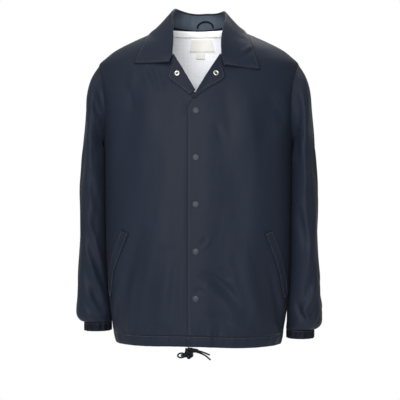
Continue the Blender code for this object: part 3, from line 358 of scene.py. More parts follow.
def round_cloth(node, levels, finish):
    """Makes the cloth piece that stands for a node, rounded but not creased yet."""
    cage, rims = control_cage(node)
    corners = coords(cage)
    moved = corners.copy()
    for _ in range(FIT_ROUNDS):
        rounded = subdivided(cage, 1)
        moved = moved + corners - coords(rounded)[:len(corners)]
        set_coords(cage, moved)
        bpy.data.meshes.remove(rounded)
    mesh = subdivided(cage, levels)
    mesh.name = node + "_cloth"
    mesh.materials.clear()
    mesh.materials.append(finish)
    CLOTH[node] = shown(bpy.data.objects.new("cloth_" + node, mesh))
    RIMS[node] = rims


PIECES = {
    "front_left": (3, SHELL), "front_right": (3, SHELL), "back": (3, SHELL),
    "sleeve_left": (3, SHELL), "sleeve_right": (3, SHELL), "cuff_left": (2, CUFF_PAINTED_SHADE), "cuff_right": (2, CUFF_PAINTED_SHADE),
    "collar_stand": (3, STAND_PAINTED_LIGHT), "collar_leaf": (3, SHELL),
    "lapel_left": (3, SHELL), "lapel_right": (3, SHELL),
    "hem_casing_left": (2, SHELL), "hem_casing_right": (2, SHELL), "hem_casing_back": (2, SHELL),
    "pocket_welt_left": (3, SHELL), "pocket_welt_right": (3, SHELL),
    "back_lining": (2, LINING), "neck_tape": (2, TAPE), "label": (3, LABEL), "size_tab": (2, LABEL),
}
for node, (levels, finish) in PIECES.items():
    round_cloth(node, levels, finish)
bpy.context.view_layer.update()
print("cloth faces:", sum(len(piece.data.polygons) for piece in CLOTH.values()))

# %% [markdown]
# Creases are what makes thin nylon look like nylon. Each one is a line drawn on the cloth, with a
# width and a height, positive for a ridge and negative for a trough. In front they are placed by
# the photo's pixels, and on the hidden sides by millimetres, where similar ones would form. One
# shift of all the points near a line moves each layer there alike, so none cuts through another.

# %% Draw the creases
ROUTE_STEP = 0.004
ROUTE_READS = 40
FEWEST_HITS = 4
NORMAL_SPREAD = 6           # a crease's normal is averaged over so many reads each way
LAYER_REACH = 0.028         # how deep a crease reaches through the layers
CREASE_REACH = 3            # how many widths it reaches sideways
CREASE_TAPER = 0.8
SLEEVE_NODES = ("sleeve_left", "sleeve_right", "cuff_left", "cuff_right")
FAR = 1.5
LOW_Z = -0.38               # below this the cloth hangs free and its creases are deeper
LOW_DEPTH = 1.3


def family(node):
    return "sleeve" if node in SLEEVE_NODES else "body"


def first_hit(origin, direction):
    """The first cloth that a line meets: its point, its outward normal and its family."""
    nearest = None
    for node, piece in CLOTH.items():
        hit, place, normal, _ = piece.ray_cast(origin, direction)
        if hit:
            away = (place - Vector(origin)).length
            if nearest is None or away < nearest[0]:
                nearest = (away, place, normal, family(node))
    return nearest


def line_of_view(view, a, b):
    if view == "photo":
        return sight_line(a, b)
    a, b = a * MM, b * MM
    if view == "back":
        return Vector((a, FAR, b)), Vector((0, -1, 0))
    side = 1 if view == "left" else -1
    return Vector((side * FAR, a, b)), Vector((-side, 0, 0))


def travelled(points):
    """The way gone along a line, at each of its points."""
    return np.concatenate([[0], np.cumsum(np.linalg.norm(np.diff(points, axis=0), axis=1))])


def evenly(points, count):
    """Points read evenly along a smooth curve through a route's own points."""
    points = np.array(points, float)
    at = travelled(points)
    slopes = np.gradient(points, at, axis=0)
    places = np.linspace(0, at[-1], count)
    k = np.clip(np.searchsorted(at, places, side="right") - 1, 0, len(at) - 2)
    step = (at[k + 1] - at[k])[:, None]
    t = ((places - at[k]) / (at[k + 1] - at[k]))[:, None]
    return ((2 * t ** 3 - 3 * t ** 2 + 1) * points[k] + (t ** 3 - 2 * t ** 2 + t) * step * slopes[k]
            + (3 * t ** 2 - 2 * t ** 3) * points[k + 1] + (t ** 3 - t ** 2) * step * slopes[k + 1])


def unit(vectors):
    return vectors / np.maximum(np.linalg.norm(vectors, axis=-1, keepdims=True), 1e-9)


def lay_crease(view, width, height, lean, route):
    """A crease's line on the cloth, ready to move points, or nothing where it misses the cloth."""
    hits = [first_hit(*line_of_view(view, a, b)) for a, b in evenly(route, ROUTE_READS)]
    hits = [hit for hit in hits if hit]
    kinds = [hit[3] for hit in hits]
    kind = max(("body", "sleeve"), key=kinds.count)
    hits = [hit for hit in hits if hit[3] == kind]
    if len(hits) < FEWEST_HITS:
        print("a crease misses the cloth:", view, route[0])
        return None
    feet = np.array([list(hit[1]) for hit in hits])
    normals = np.array([list(hit[2]) for hit in hits])
    length = travelled(feet)[-1]
    count = max(6, round(length / ROUTE_STEP))
    line = evenly(feet, count)
    near = np.array([np.argmin(((feet - point) ** 2).sum(1)) for point in line])
    spread = np.arange(-NORMAL_SPREAD, NORMAL_SPREAD + 1)
    normal = unit(sum(normals[np.clip(near + k, 0, len(normals) - 1)] for k in spread))
    along = unit(np.gradient(line, axis=0))
    deepened = LOW_DEPTH if line[:, 2].mean() < LOW_Z else 1
    return {"kind": kind, "line": line, "normal": normal, "along": along, "width": width * MM,
            "height": height * MM * deepened, "lean": lean, "step": length / (count - 1)}


def crease_shift(points, kind, creases):
    """How far the creases of one family move each point."""
    shift = np.zeros_like(points)
    for crease in creases:
        if crease["kind"] != kind:
            continue
        line, width = crease["line"], crease["width"]
        reach = CREASE_REACH * width
        inside = ((points > line.min(0) - reach) & (points < line.max(0) + reach)).all(1)
        chosen = np.flatnonzero(inside)
        if not len(chosen):
            continue
        k = (((points[chosen, None, :] - line[None]) ** 2).sum(-1)).argmin(1)
        away = points[chosen] - line[k]
        normal, along = crease["normal"][k], crease["along"][k]
        across = unit(np.cross(along, normal))
        place = (k + (away * along).sum(1) / crease["step"]) / (len(line) - 1)
        place = np.clip(place, 0, 1)
        sideways = (away * across).sum(1)
        deep = (away * normal).sum(1)
        breadth = width * np.where(sideways > 0, 1 + crease["lean"], 1 - crease["lean"])
        amount = (crease["height"] * (4 * place * (1 - place)) ** CREASE_TAPER
                  * np.exp(-(sideways / breadth) ** 2) * np.exp(-(deep / LAYER_REACH) ** 2))
        shift[chosen] += normal * amount[:, None]
    return shift


def crease_table(view, table):
    """Crease rows read from a table: width, height, lean to one side, and the route's points."""
    rows = [row.split() for row in table.strip().splitlines()]
    return [(view, *map(float, row[:3]), [tuple(map(float, point.split(","))) for point in row[3:]])
            for row in rows]


# Each row: width and height in millimetres, lean, and a route in the photo's pixels
FRONT_CREASES = crease_table("photo", """
8 -2.8 0.3 148,64 151,71 155,80 157,92
8 1.6 0 143,64 146,76 149,92
5 -1.3 0.2 235,59 243,56 249,52 254,47
6 1.2 0 238,52 246,50 252,45
6 0.9 0 229,20 234,36 237,56
4 -1.4 0 191,16 191.5,21 192,27
5 1.1 0 185,16 185,22 185,27
6 1.1 0 206,16 207,22 207,28
4 -1.3 0 215,16 215,22 214,29
7 -2.5 0.2 162,66 164,76 165,88
12 2.2 0 134,68 131,84 126,102
2.6 -1.1 0 186.6,124 186.4,180 186,250 185.8,334
9 -2.2 0.2 127,84 130,94 134,112
5 -2 0.2 95,96 95.7,105 100,118
5 1.5 0 91,96 91.5,108 95,122
4 -1.5 0 88.5,92 88.5,101 91,113
22 -3 0.2 131,100 127,125 122,150 114,187
20 2.6 0 146,90 144,125 140,160 139,190
14 1.6 0 168,110 166,150 168,190
7 -2.2 0.2 189,97 188,105 186,116
12 -1.6 0 226,84 229,110 232,145
14 1.8 0 247,90 252,120 256,160 256,195
12 -2 0.2 267,92 276,108 286,124
12 1.8 0 278,90 285,102 291,116
9 -2 0 214,122 219,132 222,145
18 -3.8 -0.2 163,245 155,270 149,295 147,332
15 3.2 0 173,250 168,275 164,305 163,332
14 -3.2 0 143,226 131,262 123,300 120,328
12 3 0 140,262 134,285 130,312 129,333
9 2.6 0 124,275 118,292 114,312 115,326
8 -2.2 0 120,290 116,305 116,322
9 1.8 0 182,262 180,290 181,325
5 1.6 0.2 211,239 207,244 202,250
6 -1.6 0 206,238 203,243 200,247
12 -5 0.35 199,274 209,276 220,282 232,294 241,310
12 3.2 -0.2 203,285 214,293 228,308 237,330
8 -2.4 0 220,266 226,274 231,282
16 2.6 0 243,245 249,270 255,300 259,328
13 -2.4 0 232,250 240,280 246,310 248,330
10 -2.2 0 268,262 274,285 278,308 281,328
6 -1.8 0 194,293 199,291 205,293
9 2 0 276,286 282,298 285,314
8 -2.6 0 206,312 222,318 236,326
7 1.7 0 270,320 276,326 279,333
7 -1.6 0 154,322 152,330 151,337
6 1.5 0 196,318 197,327 199,336
6 -1.5 0 218,322 219,330 221,337
6 -1.6 0 254,320 256,329 257,336
6 1.5 0 170,320 170,329 169,337
6 -1.5 0 134,322 133,330 134,337
""")
SLEEVE_CREASES = crease_table("photo", """
9 2.6 0 92,82 93,95 97,106
8 -2.6 0.2 98,88 101,100 104,112
9 2.4 0 96,110 99,128 102,150
8 -2.2 0 90,118 92,140 95,165
9 -2.4 0 87,165 93,190 100,215
9 3 0 82,196 88,220 96,246 104,275
9 -3 0.2 83,216 90,242 99,270 105,292
8 2.8 0 83,240 90,263 98,284 106,304
8 -2.8 0 82,256 88,278 97,298 104,314
8 2.4 0 81,276 88,296 98,312
7 -2.2 0 82,296 90,310 99,319
6 1.8 0 86,310 92,318 98,322
10 2 0 300,84 303,100 306,120
9 -2 0 296,92 298,108 300,128
9 2 0 300,135 304,160 306,190
8 -1.8 0 308,150 311,175 312,200
9 -2.2 0 299,205 302,225 308,250
9 2.4 0 312,235 309,260 306,285
8 -2.6 0.2 315,262 311,284 304,300 296,307
7 3 0 317,282 313,296 306,308 299,314
6 -3.6 0.2 296,302 300,312 304,320 306,326
6 2.8 0 302,304 306,313 310,323
6 -2.4 0 318,302 313,313 306,322
6 2 0 319,312 315,320 309,326
""")
# On the hidden sides routes are in millimetres: x and z from behind, y and z from a side.
BACK_CREASES = crease_table("back", """
24 -3.4 0.2 -95,-150 -110,-240 -120,-340 -118,-450
20 3 0 -62,-170 -70,-270 -76,-380 -72,-500
22 -3 0.1 -20,-240 -30,-350 -34,-470 -26,-600
24 3 0 24,-200 30,-320 28,-450 36,-590
20 -3.2 0 78,-160 84,-280 92,-400 88,-540
22 2.8 0 118,-170 128,-270 138,-380 136,-480
14 -3.4 0.2 -190,-210 -160,-270 -140,-340 -132,-420
13 3.2 0 -196,-250 -172,-320 -158,-400
14 -3.4 0.2 192,-215 166,-280 150,-350 146,-430
13 3 0 198,-260 178,-330 168,-410
18 -4 0.2 -120,-520 -104,-590 -96,-660 -100,-712
16 3.4 0 -150,-500 -136,-580 -130,-650 -134,-712
15 3.2 0 -66,-560 -60,-630 -58,-712
18 -3.8 0.1 14,-560 4,-630 -4,-712
16 3.2 0 50,-600 46,-660 48,-714
17 -3.6 0.2 102,-540 96,-620 90,-714
15 3.2 0 140,-520 134,-610 132,-712
12 -2.8 0 172,-480 164,-580 166,-690
10 -2.2 0 -40,-120 0,-132 44,-122
""")
LEFT_CREASES = crease_table("left", """
14 3 0 30,-330 20,-420 26,-520
12 -3 0.2 -30,-210 -8,-300 12,-390
11 2.8 0 -44,-260 -22,-350 -4,-440
11 -3.2 0 52,-400 30,-480 2,-560
10 3 0 60,-460 36,-540 6,-610
10 -3 0 56,-530 32,-600 0,-650
8 2.8 0 48,-600 26,-650 -6,-682
8 -2.6 0 -40,-580 -18,-640 10,-680
""")
RIGHT_CREASES = crease_table("right", """
14 3 0 34,-320 24,-410 28,-500
12 -3 0.2 -24,-200 -4,-290 14,-380
11 2.6 0 -46,-280 -26,-360 -10,-450
11 -3.2 0 54,-380 34,-470 8,-560
10 3 0 62,-450 40,-530 12,-600
9 -3 0 58,-520 34,-590 6,-636
8 2.6 0 50,-590 28,-640 -2,-668
8 -2.4 0 -42,-560 -20,-620 6,-660
""")
SLEEVE_BACK_CREASES = crease_table("back", """
10 3 0 250,-260 262,-330 256,-410
10 -3 0 232,-300 246,-380 262,-450
9 2.8 0 228,-420 246,-480 266,-520
9 -3 0 226,-500 244,-560 268,-600
8 2.6 0 228,-570 244,-620 266,-655
10 3 0 -250,-270 -264,-340 -258,-420
10 -3 0 -234,-310 -248,-390 -266,-460
9 2.8 0 -228,-430 -246,-490 -268,-530
9 -3 0 -226,-510 -244,-570 -268,-610
8 2.6 0 -228,-580 -244,-625 -264,-655
""")
ALL_CREASES = (FRONT_CREASES + SLEEVE_CREASES + BACK_CREASES + LEFT_CREASES + RIGHT_CREASES
               + SLEEVE_BACK_CREASES)
CREASES = [crease for crease in (lay_crease(*row) for row in ALL_CREASES) if crease]
print("creases:", len(CREASES))

# %% [markdown]
# Between its creases thin cloth is never quite smooth. Soft noise, longer up and down than
# around, moves it by a millimetre or so. At the armholes nothing ripples, because the body and
# the sleeves are pushed different ways there. Just below, the two swell towards each other, so that
# no light shows between them. The neck and collar keep only their own creases.

# %% Move the cloth
# Soft noise: how far it moves the cloth, and how often a metre it turns around and up
SLOW_RIPPLE = (0.0015, 16, 5)
FINE_RIPPLE = (0.0006, 44, 15)
FINE_START = 3              # keeps the fine noise apart from the slow one
CHEST_Z = -0.28             # the cloth hangs smooth above this
CHEST_FADE = 0.22
CHEST_SHARE = 0.35
ARMHOLE_X = 0.2366
SEAM_REST = 0.030           # how far from an armhole the cloth starts to move
SLEEVE_AXIS = (0.247, 0.008)        # a sleeve's middle line, in x and y
BODY_HALF = (0.237, 0.142)
NECK_Z = -0.10              # the neck and collar, above this, don't ripple
NECK_FADE = 0.08
RIM_STEP = 0.003
SEAM_FADE = 0.006           # how far from an edge its puckers and its darker shade fade
SHARP = math.radians(50)    # a sharper fold between two faces shows as an edge
# Where the cloth is gathered: middle of the turn, its radius, the seam's height and the depth
GATHERS = {"body": ((0, 0), 0.17, -0.721, 0.0024),
           "left": ((0.239, 0.002), 0.04, -0.718, 0.00192),
           "right": ((-0.239, 0.002), 0.04, -0.702, 0.00192)}
GATHERS_ABOVE = 0.020
GATHERS_PER_METRE = 95
GATHERS_UP = 12             # how often a metre a pucker changes on its way up
GATHERS_ROW = 7.3           # which row of the noise is read
# Under the arms: which way the cloth swells, how far, the swelling's middle in y, its reach in y and z
UNDERARM_Z = -0.296
UNDERARM_X = (0.205, 0.240)
UNDERARMS = {"body": (1, 0.0030, 0.008, 0.035, 0.020), "sleeve": (-1, 0.0095, -0.044, 0.015, 0.029)}


def tree_of(points):
    tree = kdtree.KDTree(len(points))
    for i, point in enumerate(points):
        tree.insert(point, i)
    tree.balance()
    return tree


def distances(points, tree):
    return np.array([tree.find(point)[2] for point in points])


def eased(values):
    values = np.clip(values, 0, 1)
    return values * values * (3 - 2 * values)


body_points = np.concatenate([coords(CLOTH[node].data) for node in ("front_left", "front_right", "back")])
ARMHOLES = tree_of(body_points[np.abs(body_points[:, 0]) > ARMHOLE_X][::3])


def outward(points, kind):
    """The level way out from a sleeve's middle line, or from the body's oval."""
    x, y = points[:, 0], points[:, 1]
    if kind == "sleeve":
        across, deep = x - np.sign(x) * SLEEVE_AXIS[0], y - SLEEVE_AXIS[1]
    else:
        across, deep = x / BODY_HALF[0] ** 2, y / BODY_HALF[1] ** 2
    return unit(np.stack([across, deep, np.zeros(len(points))], -1))


def ripple(points, kind):
    """Soft noise at each point, drawn out up and down, and fainter on the smooth chest."""
    below = eased((CHEST_Z - points[:, 2]) / CHEST_FADE)
    unrest = 1 if kind == "sleeve" else CHEST_SHARE + (1 - CHEST_SHARE) * below
    depth, around, up = SLOW_RIPPLE
    slow = np.array([noise.noise(Vector((x * around, y * around, z * up))) for x, y, z in points]) * depth
    depth, around, up = FINE_RIPPLE
    fast = np.array([noise.noise(Vector((x * around + FINE_START, y * around, z * up)))
                     for x, y, z in points])
    return (slow + (0.5 - np.abs(fast)) * depth) * unrest


def gathers(points, kind):
    """Small uneven puckers at the hem and the cuffs, where a cord or elastic draws the cloth in."""
    place = "body" if kind == "body" else "left" if points[:, 0].mean() > 0 else "right"
    middle, radius, seam_z, depth = GATHERS[place]
    arc = np.arctan2(points[:, 0] - middle[0], middle[1] - points[:, 1]) * radius
    above = np.maximum(points[:, 2] - seam_z, 0)
    strength = np.exp(-(above / GATHERS_ABOVE) ** 2)
    pucker = [noise.noise(Vector((a * GATHERS_PER_METRE, GATHERS_ROW, z * GATHERS_UP)))
              for a, z in zip(arc, points[:, 2])]
    return np.array(pucker) * strength * depth


def underarm(points, kind):
    """Moves that let body and sleeve swell towards each other, so that no light shows between them."""
    way, depth, middle_y, reach_y, reach_z = UNDERARMS[kind]
    x, y, z = points.T
    near = np.exp(-((y - middle_y) / reach_y) ** 2 - ((z - UNDERARM_Z) / reach_z) ** 2)
    near[(np.abs(x) < UNDERARM_X[0]) | (np.abs(x) > UNDERARM_X[1])] = 0
    return np.stack([np.sign(x) * way * depth * near, 0 * y, 0 * z], -1)


for node, piece in CLOTH.items():
    points = coords(piece.data)
    kind = family(node)
    calm = eased(distances(points, ARMHOLES) / SEAM_REST)
    shift = crease_shift(points, kind, CREASES)
    loose = eased((NECK_Z - points[:, 2]) / NECK_FADE)
    waves = ripple(points, kind) + gathers(points, kind)
    shift += outward(points, kind) * (waves * loose)[:, None]
    set_coords(piece.data, points + shift * calm[:, None] + underarm(points, kind))
    if len(RIMS[node]):
        rim = np.concatenate([evenly(edge, max(2, round(travelled(edge)[-1] / RIM_STEP)))
                              for edge in RIMS[node]])
        near = np.exp(-distances(points, tree_of(rim)) / SEAM_FADE)
    else:
        near = np.zeros(len(points))
    # The stored "seam" value drives the seam puckers and the painted seam shade in the finishes.
    stored = piece.data.attributes.new("seam", "FLOAT", "POINT")
    stored.data.foreach_set("value", near.astype(np.float32))
    piece.data.set_sharp_from_angle(angle=SHARP)
    piece.data.shade_smooth()
bpy.context.view_layer.update()
print("cloth moved")

# %% [markdown]
# Each piece now takes its solid's place. It rides on the one rigid body, and its half area and its
# solid's box are printed.


def half_area(piece):
    """The area of one face of a thin piece, in square metres."""
    return sum(face.area for face in piece.data.polygons) / 2


for node, piece in CLOTH.items():
    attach(piece, "root")
    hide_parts(node)
    low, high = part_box(node)
    print(node, "half area", round(half_area(piece), 5), "box", [round(v * 1000) for v in high - low])

# %% [markdown]
# Rows of stitches hold the edges down. They follow the pieces' own edges a few millimetres in. The
# edges are read from the creased cloth, so that the rows bend with every fold, and only those of
# the side that shows are kept.

# %% Find the edges to sew along
SHOWN_SHARE = 0.2           # how squarely a face looks out, to count as shown
SHORTEST_RUN = 6


def away_and_up(point, kind):
    """The way that a shown face looks, near enough to tell it from the cloth's back."""
    if kind == "inside":
        return Vector((0, -1, 0))
    flat = outward(np.array([point]), kind)[0]
    return Vector((flat[0], flat[1], 0.6)).normalized()


def edge_runs(piece, kind):
    """Unbroken runs along the edges of a piece's shown face: places, normals and ways inward."""
    read = bmesh.new()
    read.from_mesh(piece.data)
    links, facts = {}, {}
    for edge in read.edges:
        if len(edge.link_faces) != 2 or edge.calc_face_angle(0) < SHARP:
            continue
        top = max(edge.link_faces, key=lambda face: face.calc_area())
        middle = (edge.verts[0].co + edge.verts[1].co) / 2
        if top.normal.dot(away_and_up(middle, kind)) < SHOWN_SHARE:
            continue
        inward = top.calc_center_median() - middle
        for vertex in edge.verts:
            other = edge.other_vert(vertex)
            links.setdefault(vertex.index, []).append(other.index)
            facts[vertex.index] = [list(vertex.co), list(top.normal), list(inward)]
    read.free()
    runs, unseen = [], set(links)
    while unseen:
        ends = [i for i in unseen if len(links[i]) == 1]
        run = [min(ends or unseen)]
        while run[-1] in unseen:
            unseen.discard(run[-1])
            run += sorted(i for i in links[run[-1]] if i in unseen)[:1]
        if len(run) > SHORTEST_RUN:
            runs.append(np.array([facts[i] for i in run]))
    return runs


print("edges round the label:", [len(run) for run in edge_runs(CLOTH["label"], "inside")])

# %% [markdown]
# Each stitch is a tiny bar of thread, thickest in the middle and sunk into the cloth at both ends.
# A flat texture of dashes would not catch the light.

# %% Lay the stitches
STITCH_PITCH = 3.4 * MM
STITCH_LENGTH = 2.7 * MM
STITCH_RADIUS = 0.26 * MM
STITCH_SIDES = 5
STITCH_RINGS = ((-0.5, -0.15, 0.7), (0.0, 0.5, 1.0), (0.5, -0.15, 0.7))     # place, lift, radius
LOOK_FROM = 4 * MM          # how far above the cloth a stitch's place is looked for
LOOK_DOWN = 9 * MM
CORNER_SHARE = 0.8          # a place nearer to another edge than this share of the inset is left out


def stitch_places(piece, kind, inset, keep):
    """Middle, direction and normal of each stitch beside a piece's edges."""
    runs = edge_runs(piece, kind)
    edges = tree_of(np.concatenate([run[:, 0] for run in runs]))
    places = []
    for run in runs:
        line, normals, inwards = run[:, 0], run[:, 1], run[:, 2]
        at = travelled(line)
        along = unit(np.gradient(line, axis=0))
        for place in np.arange(STITCH_PITCH, at[-1], STITCH_PITCH):
            k = int(np.searchsorted(at, place))
            foot = np.array([np.interp(place, at, line[:, axis]) for axis in range(3)])
            inward = inwards[k] - along[k] * (inwards[k] @ along[k])
            over = Vector(foot + unit(inward) * inset + normals[k] * LOOK_FROM)
            hit, spot, normal, _ = piece.ray_cast(over, -Vector(normals[k]), distance=LOOK_DOWN)
            if hit and keep(spot) and edges.find(spot)[2] > CORNER_SHARE * inset:
                places.append((spot, Vector(along[k]), normal))
    return places


def built(name, points, faces, finish):
    """A new piece with one finish, made from points and faces."""
    mesh = bpy.data.meshes.new(name)
    mesh.from_pydata(points, [], faces)
    mesh.materials.append(finish)
    mesh.shade_smooth()
    return shown(bpy.data.objects.new(name, mesh))


def sew(node, row, kind, inset, finish, keep=lambda spot: True):
    """A row of stitches on one piece."""
    points, faces = [], []
    for spot, along, normal in stitch_places(CLOTH[node], kind, inset * MM, keep):
        side = normal.cross(along).normalized()
        start = len(points)
        for share, lift, size in STITCH_RINGS:
            middle = spot + along * share * STITCH_LENGTH + normal * lift * STITCH_RADIUS
            for k in range(STITCH_SIDES):
                swing = math.tau * k / STITCH_SIDES
                spoke = side * math.cos(swing) + normal * math.sin(swing)
                points.append(middle + spoke * STITCH_RADIUS * size)
        for ring in (start, start + STITCH_SIDES):
            for k in range(STITCH_SIDES):
                a, b = ring + k, ring + (k + 1) % STITCH_SIDES
                faces.append((a, b, b + STITCH_SIDES, a + STITCH_SIDES))
        faces.append(tuple(range(start + STITCH_SIDES - 1, start - 1, -1)))
        faces.append(tuple(range(start + 2 * STITCH_SIDES, start + 3 * STITCH_SIDES)))
    made = built(f"stitches_{row}_{node}", points, faces, finish)
    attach(made, "root")
    print(made.name, len(points) // (3 * STITCH_SIDES))


FOLD_FOOT = (-0.006, -0.1853)       # the lapel's fold starts here, in x and z, on either side
FOLD_RUN = (0.061, 0.1006)
FOLD_CLEAR = 0.007
CASING_SEAM_Z = -0.728              # the casing is sewn only along its top
FRONT_EDGE_X = -0.006
FRONT_EDGE_Z = -0.2                 # the front's edge is sewn from below the open neck
ROLL_Z = 0.0                        # the leaf isn't sewn along its roll, above and between these
ROLL_X = 0.09


def off_fold(spot):
    """Whether a place on a lapel is clear of its fold."""
    across, up = abs(spot.x) - FOLD_FOOT[0], spot.z - FOLD_FOOT[1]
    return abs(across * FOLD_RUN[1] - up * FOLD_RUN[0]) / math.hypot(*FOLD_RUN) > FOLD_CLEAR


for node in ("hem_casing_left", "hem_casing_right", "hem_casing_back"):
    sew(node, "top", "body", 2.0, THREAD, lambda spot: spot.z > CASING_SEAM_Z)
sew("front_left", "edge", "body", 6.0, THREAD, lambda spot: spot.x < FRONT_EDGE_X and spot.z < FRONT_EDGE_Z)
sew("collar_leaf", "edge", "body", 5.0, THREAD, lambda spot: spot.z < ROLL_Z or abs(spot.x) > ROLL_X)
for side in ("left", "right"):
    sew("lapel_" + side, "edge", "body", 4.0, THREAD, off_fold)
    sew("pocket_welt_" + side, "edge", "body", 2.2, THREAD)
    middle_z = sum(corner[2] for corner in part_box("cuff_" + side)) / 2
    sew("cuff_" + side, "top", "sleeve", 2.4, THREAD, lambda spot: spot.z > middle_z)
for node in ("label", "neck_tape"):
    sew(node, "edge", "inside", 1.6, LABEL_THREAD)

# %% [markdown]
# The closed snaps are low domes of enamelled metal. The open pair at the neck shows bare nickel:
# a socket with a sunk middle and a stud with a post. Each is a turned profile, set on the cloth.

# %% Turn the snaps
# Profiles: pairs of radius and height in millimetres, from the back to the front
TURN_STEPS = 48
SEAT_READS = 12
SEAT_RADIUS = 6.5 * MM
SEAT_GAP = 0.1 * MM
CAP_PROFILE = ((0, 0), (6.9, 0), (7.4, 0.25), (7.5, 0.7), (7.35, 1.2), (6.9, 1.65), (6.1, 1.95), (5.6, 1.9),
               (5.2, 2.0), (4.2, 2.3), (2.4, 2.5), (0, 2.6))
SOCKET_PROFILE = ((0, 0), (6.1, 0), (6.25, 0.3), (6.2, 0.8), (5.9, 1.35), (5.2, 1.75), (4.3, 1.8), (3.5, 1.7),
                  (2.8, 1.2), (2.3, 0.8), (0, 0.6))
SOCKET_WELL = ((0, 0.5), (2.7, 0.6), (2.75, 1.15), (2.5, 1.05), (2.2, 0.9), (0, 0.8))
STUD_PROFILE = ((0, 0), (6.1, 0), (6.25, 0.3), (6.15, 0.8), (5.6, 1.2), (4.8, 1.35), (3.9, 1.2), (3.5, 1.0),
                (0, 0.9))
STUD_POST = ((0, 0.7), (3.45, 0.8), (3.3, 1.15), (2.6, 1.5), (2.5, 2.2), (2.65, 2.9), (2.4, 3.4), (1.6, 3.6),
             (0.9, 3.4), (0.5, 2.6), (0, 2.5))


def turned(name, profile, place, axis, finish):
    """A piece turned from a profile, with its back at a place and its front along an axis."""
    turn = axis.to_track_quat("Z", "Y").to_matrix()
    points, faces = [], []
    for radius, height in profile:
        for k in range(TURN_STEPS):
            swing = math.tau * k / TURN_STEPS
            local = Vector((radius * math.cos(swing), radius * math.sin(swing), height)) * MM
            points.append(place + turn @ local)
    for ring in range(len(profile) - 1):
        for k in range(TURN_STEPS):
            a, b = ring * TURN_STEPS + k, ring * TURN_STEPS + (k + 1) % TURN_STEPS
            faces.append((a, b, b + TURN_STEPS, a + TURN_STEPS))
    made = built(name, points, faces, finish)
    closed = bmesh.new()
    closed.from_mesh(made.data)
    bmesh.ops.remove_doubles(closed, verts=closed.verts, dist=0.001 * MM)
    bmesh.ops.recalc_face_normals(closed, faces=closed.faces)
    closed.to_mesh(made.data)
    closed.free()
    return made


def seat(node):
    """Where a snap's back sits on the cloth in front of it, and the way it faces."""
    low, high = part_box(node)
    middle = (low + high) / 2
    hits = []
    for k in range(SEAT_READS + 1):
        swing = math.tau * k / SEAT_READS
        radius = 0 if k == SEAT_READS else SEAT_RADIUS
        start = Vector((middle.x + radius * math.cos(swing), -FAR, middle.z + radius * math.sin(swing)))
        hits.append(first_hit(start, Vector((0, 1, 0))))
    axis = sum((hit[2] for hit in hits), Vector()).normalized()
    centre = hits[-1][1]
    highest = max((hit[1] - centre).dot(axis) for hit in hits)
    return centre + axis * (max(highest, 0) + SEAT_GAP), axis


SNAPS = {f"snap_cap_{i}": (CAP_PROFILE, CAP, "snap_cap") for i in range(1, 6)}
SNAPS["snap_socket"] = (SOCKET_PROFILE, NICKEL, "snap_ring")
SNAPS["snap_stud"] = (STUD_PROFILE, NICKEL, "snap_ring")
SNAP_MIDDLES = {"snap_socket": SOCKET_WELL, "snap_stud": STUD_POST}
for node, (profile, finish, slot_name) in SNAPS.items():
    place, axis = seat(node)
    snap = turned("turned_" + node, profile, place, axis, finish)
    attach(snap, "root")
    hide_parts(node)
    if node in SNAP_MIDDLES:
        inner = turned("inner_" + node, SNAP_MIDDLES[node], place, axis, WELL)
        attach(inner, "root")
print("snaps:", len(SNAPS))

# %% [markdown]
# The drawcord and the hanger loop are round braid. A tube whose surface rises and falls where the
# strands cross reads as braid without modelling each strand. The routes are the part's own.

# %% Braid the cords
CORD_DIAMETER = 3.6
KNOT_STRAND = 5.4          # the drawn-up knot's strands bulge
HANGER_DIAMETER = 4.0
BRAID_AROUND = 20
BRAID_STEP = 0.45
BRAID_STRANDS = 3          # each way around
BRAID_LIFT = 0.07
BRAID_TURN = 3.2           # how far the strands turn in one diameter, in radians
END_ROUNDING = 0.35
BRAID_FRAME = (0.13, 0.97, 0.21)    # never in line with a route
PATH_POINTS = 60
CORD_ROUTES = {
    "drawcord_end_lower": ((-5.0, -143.2, -756.4), (1, -143.4, -756.6), (7.5, -143.8, -758.4),
                           (14.5, -144.4, -760.8), (21, -145, -764.2), (27.5, -145.4, -769),
                           (33.5, -145.6, -774.5)),
    "drawcord_end_upper": ((-7.0, -146.3, -751.4), (0, -147.4, -751.9), (8, -148, -754), (16, -148.4, -756.4),
                           (24, -148.8, -759.4), (32, -149, -762.8)),
    "drawcord_bow": ((-27.2, -144.5, -760), (-32, -146.5, -759), (-37.5, -147.5, -760.2),
                     (-40.6, -147, -764.2), (-38.5, -144.8, -768.2), (-33, -143.2, -769.4),
                     (-27.0, -142.4, -768.2)),
}
# Each cord goes on inside the knot, where its own solid stops short of it.
INTO_KNOT = {
    "drawcord_end_lower": (((-11, -142.8, -758),), ()),
    "drawcord_end_upper": (((-12.5, -145, -753),), ()),
    "drawcord_bow": (((-20, -143.5, -761),), ((-20, -142.5, -766.5),)),
}


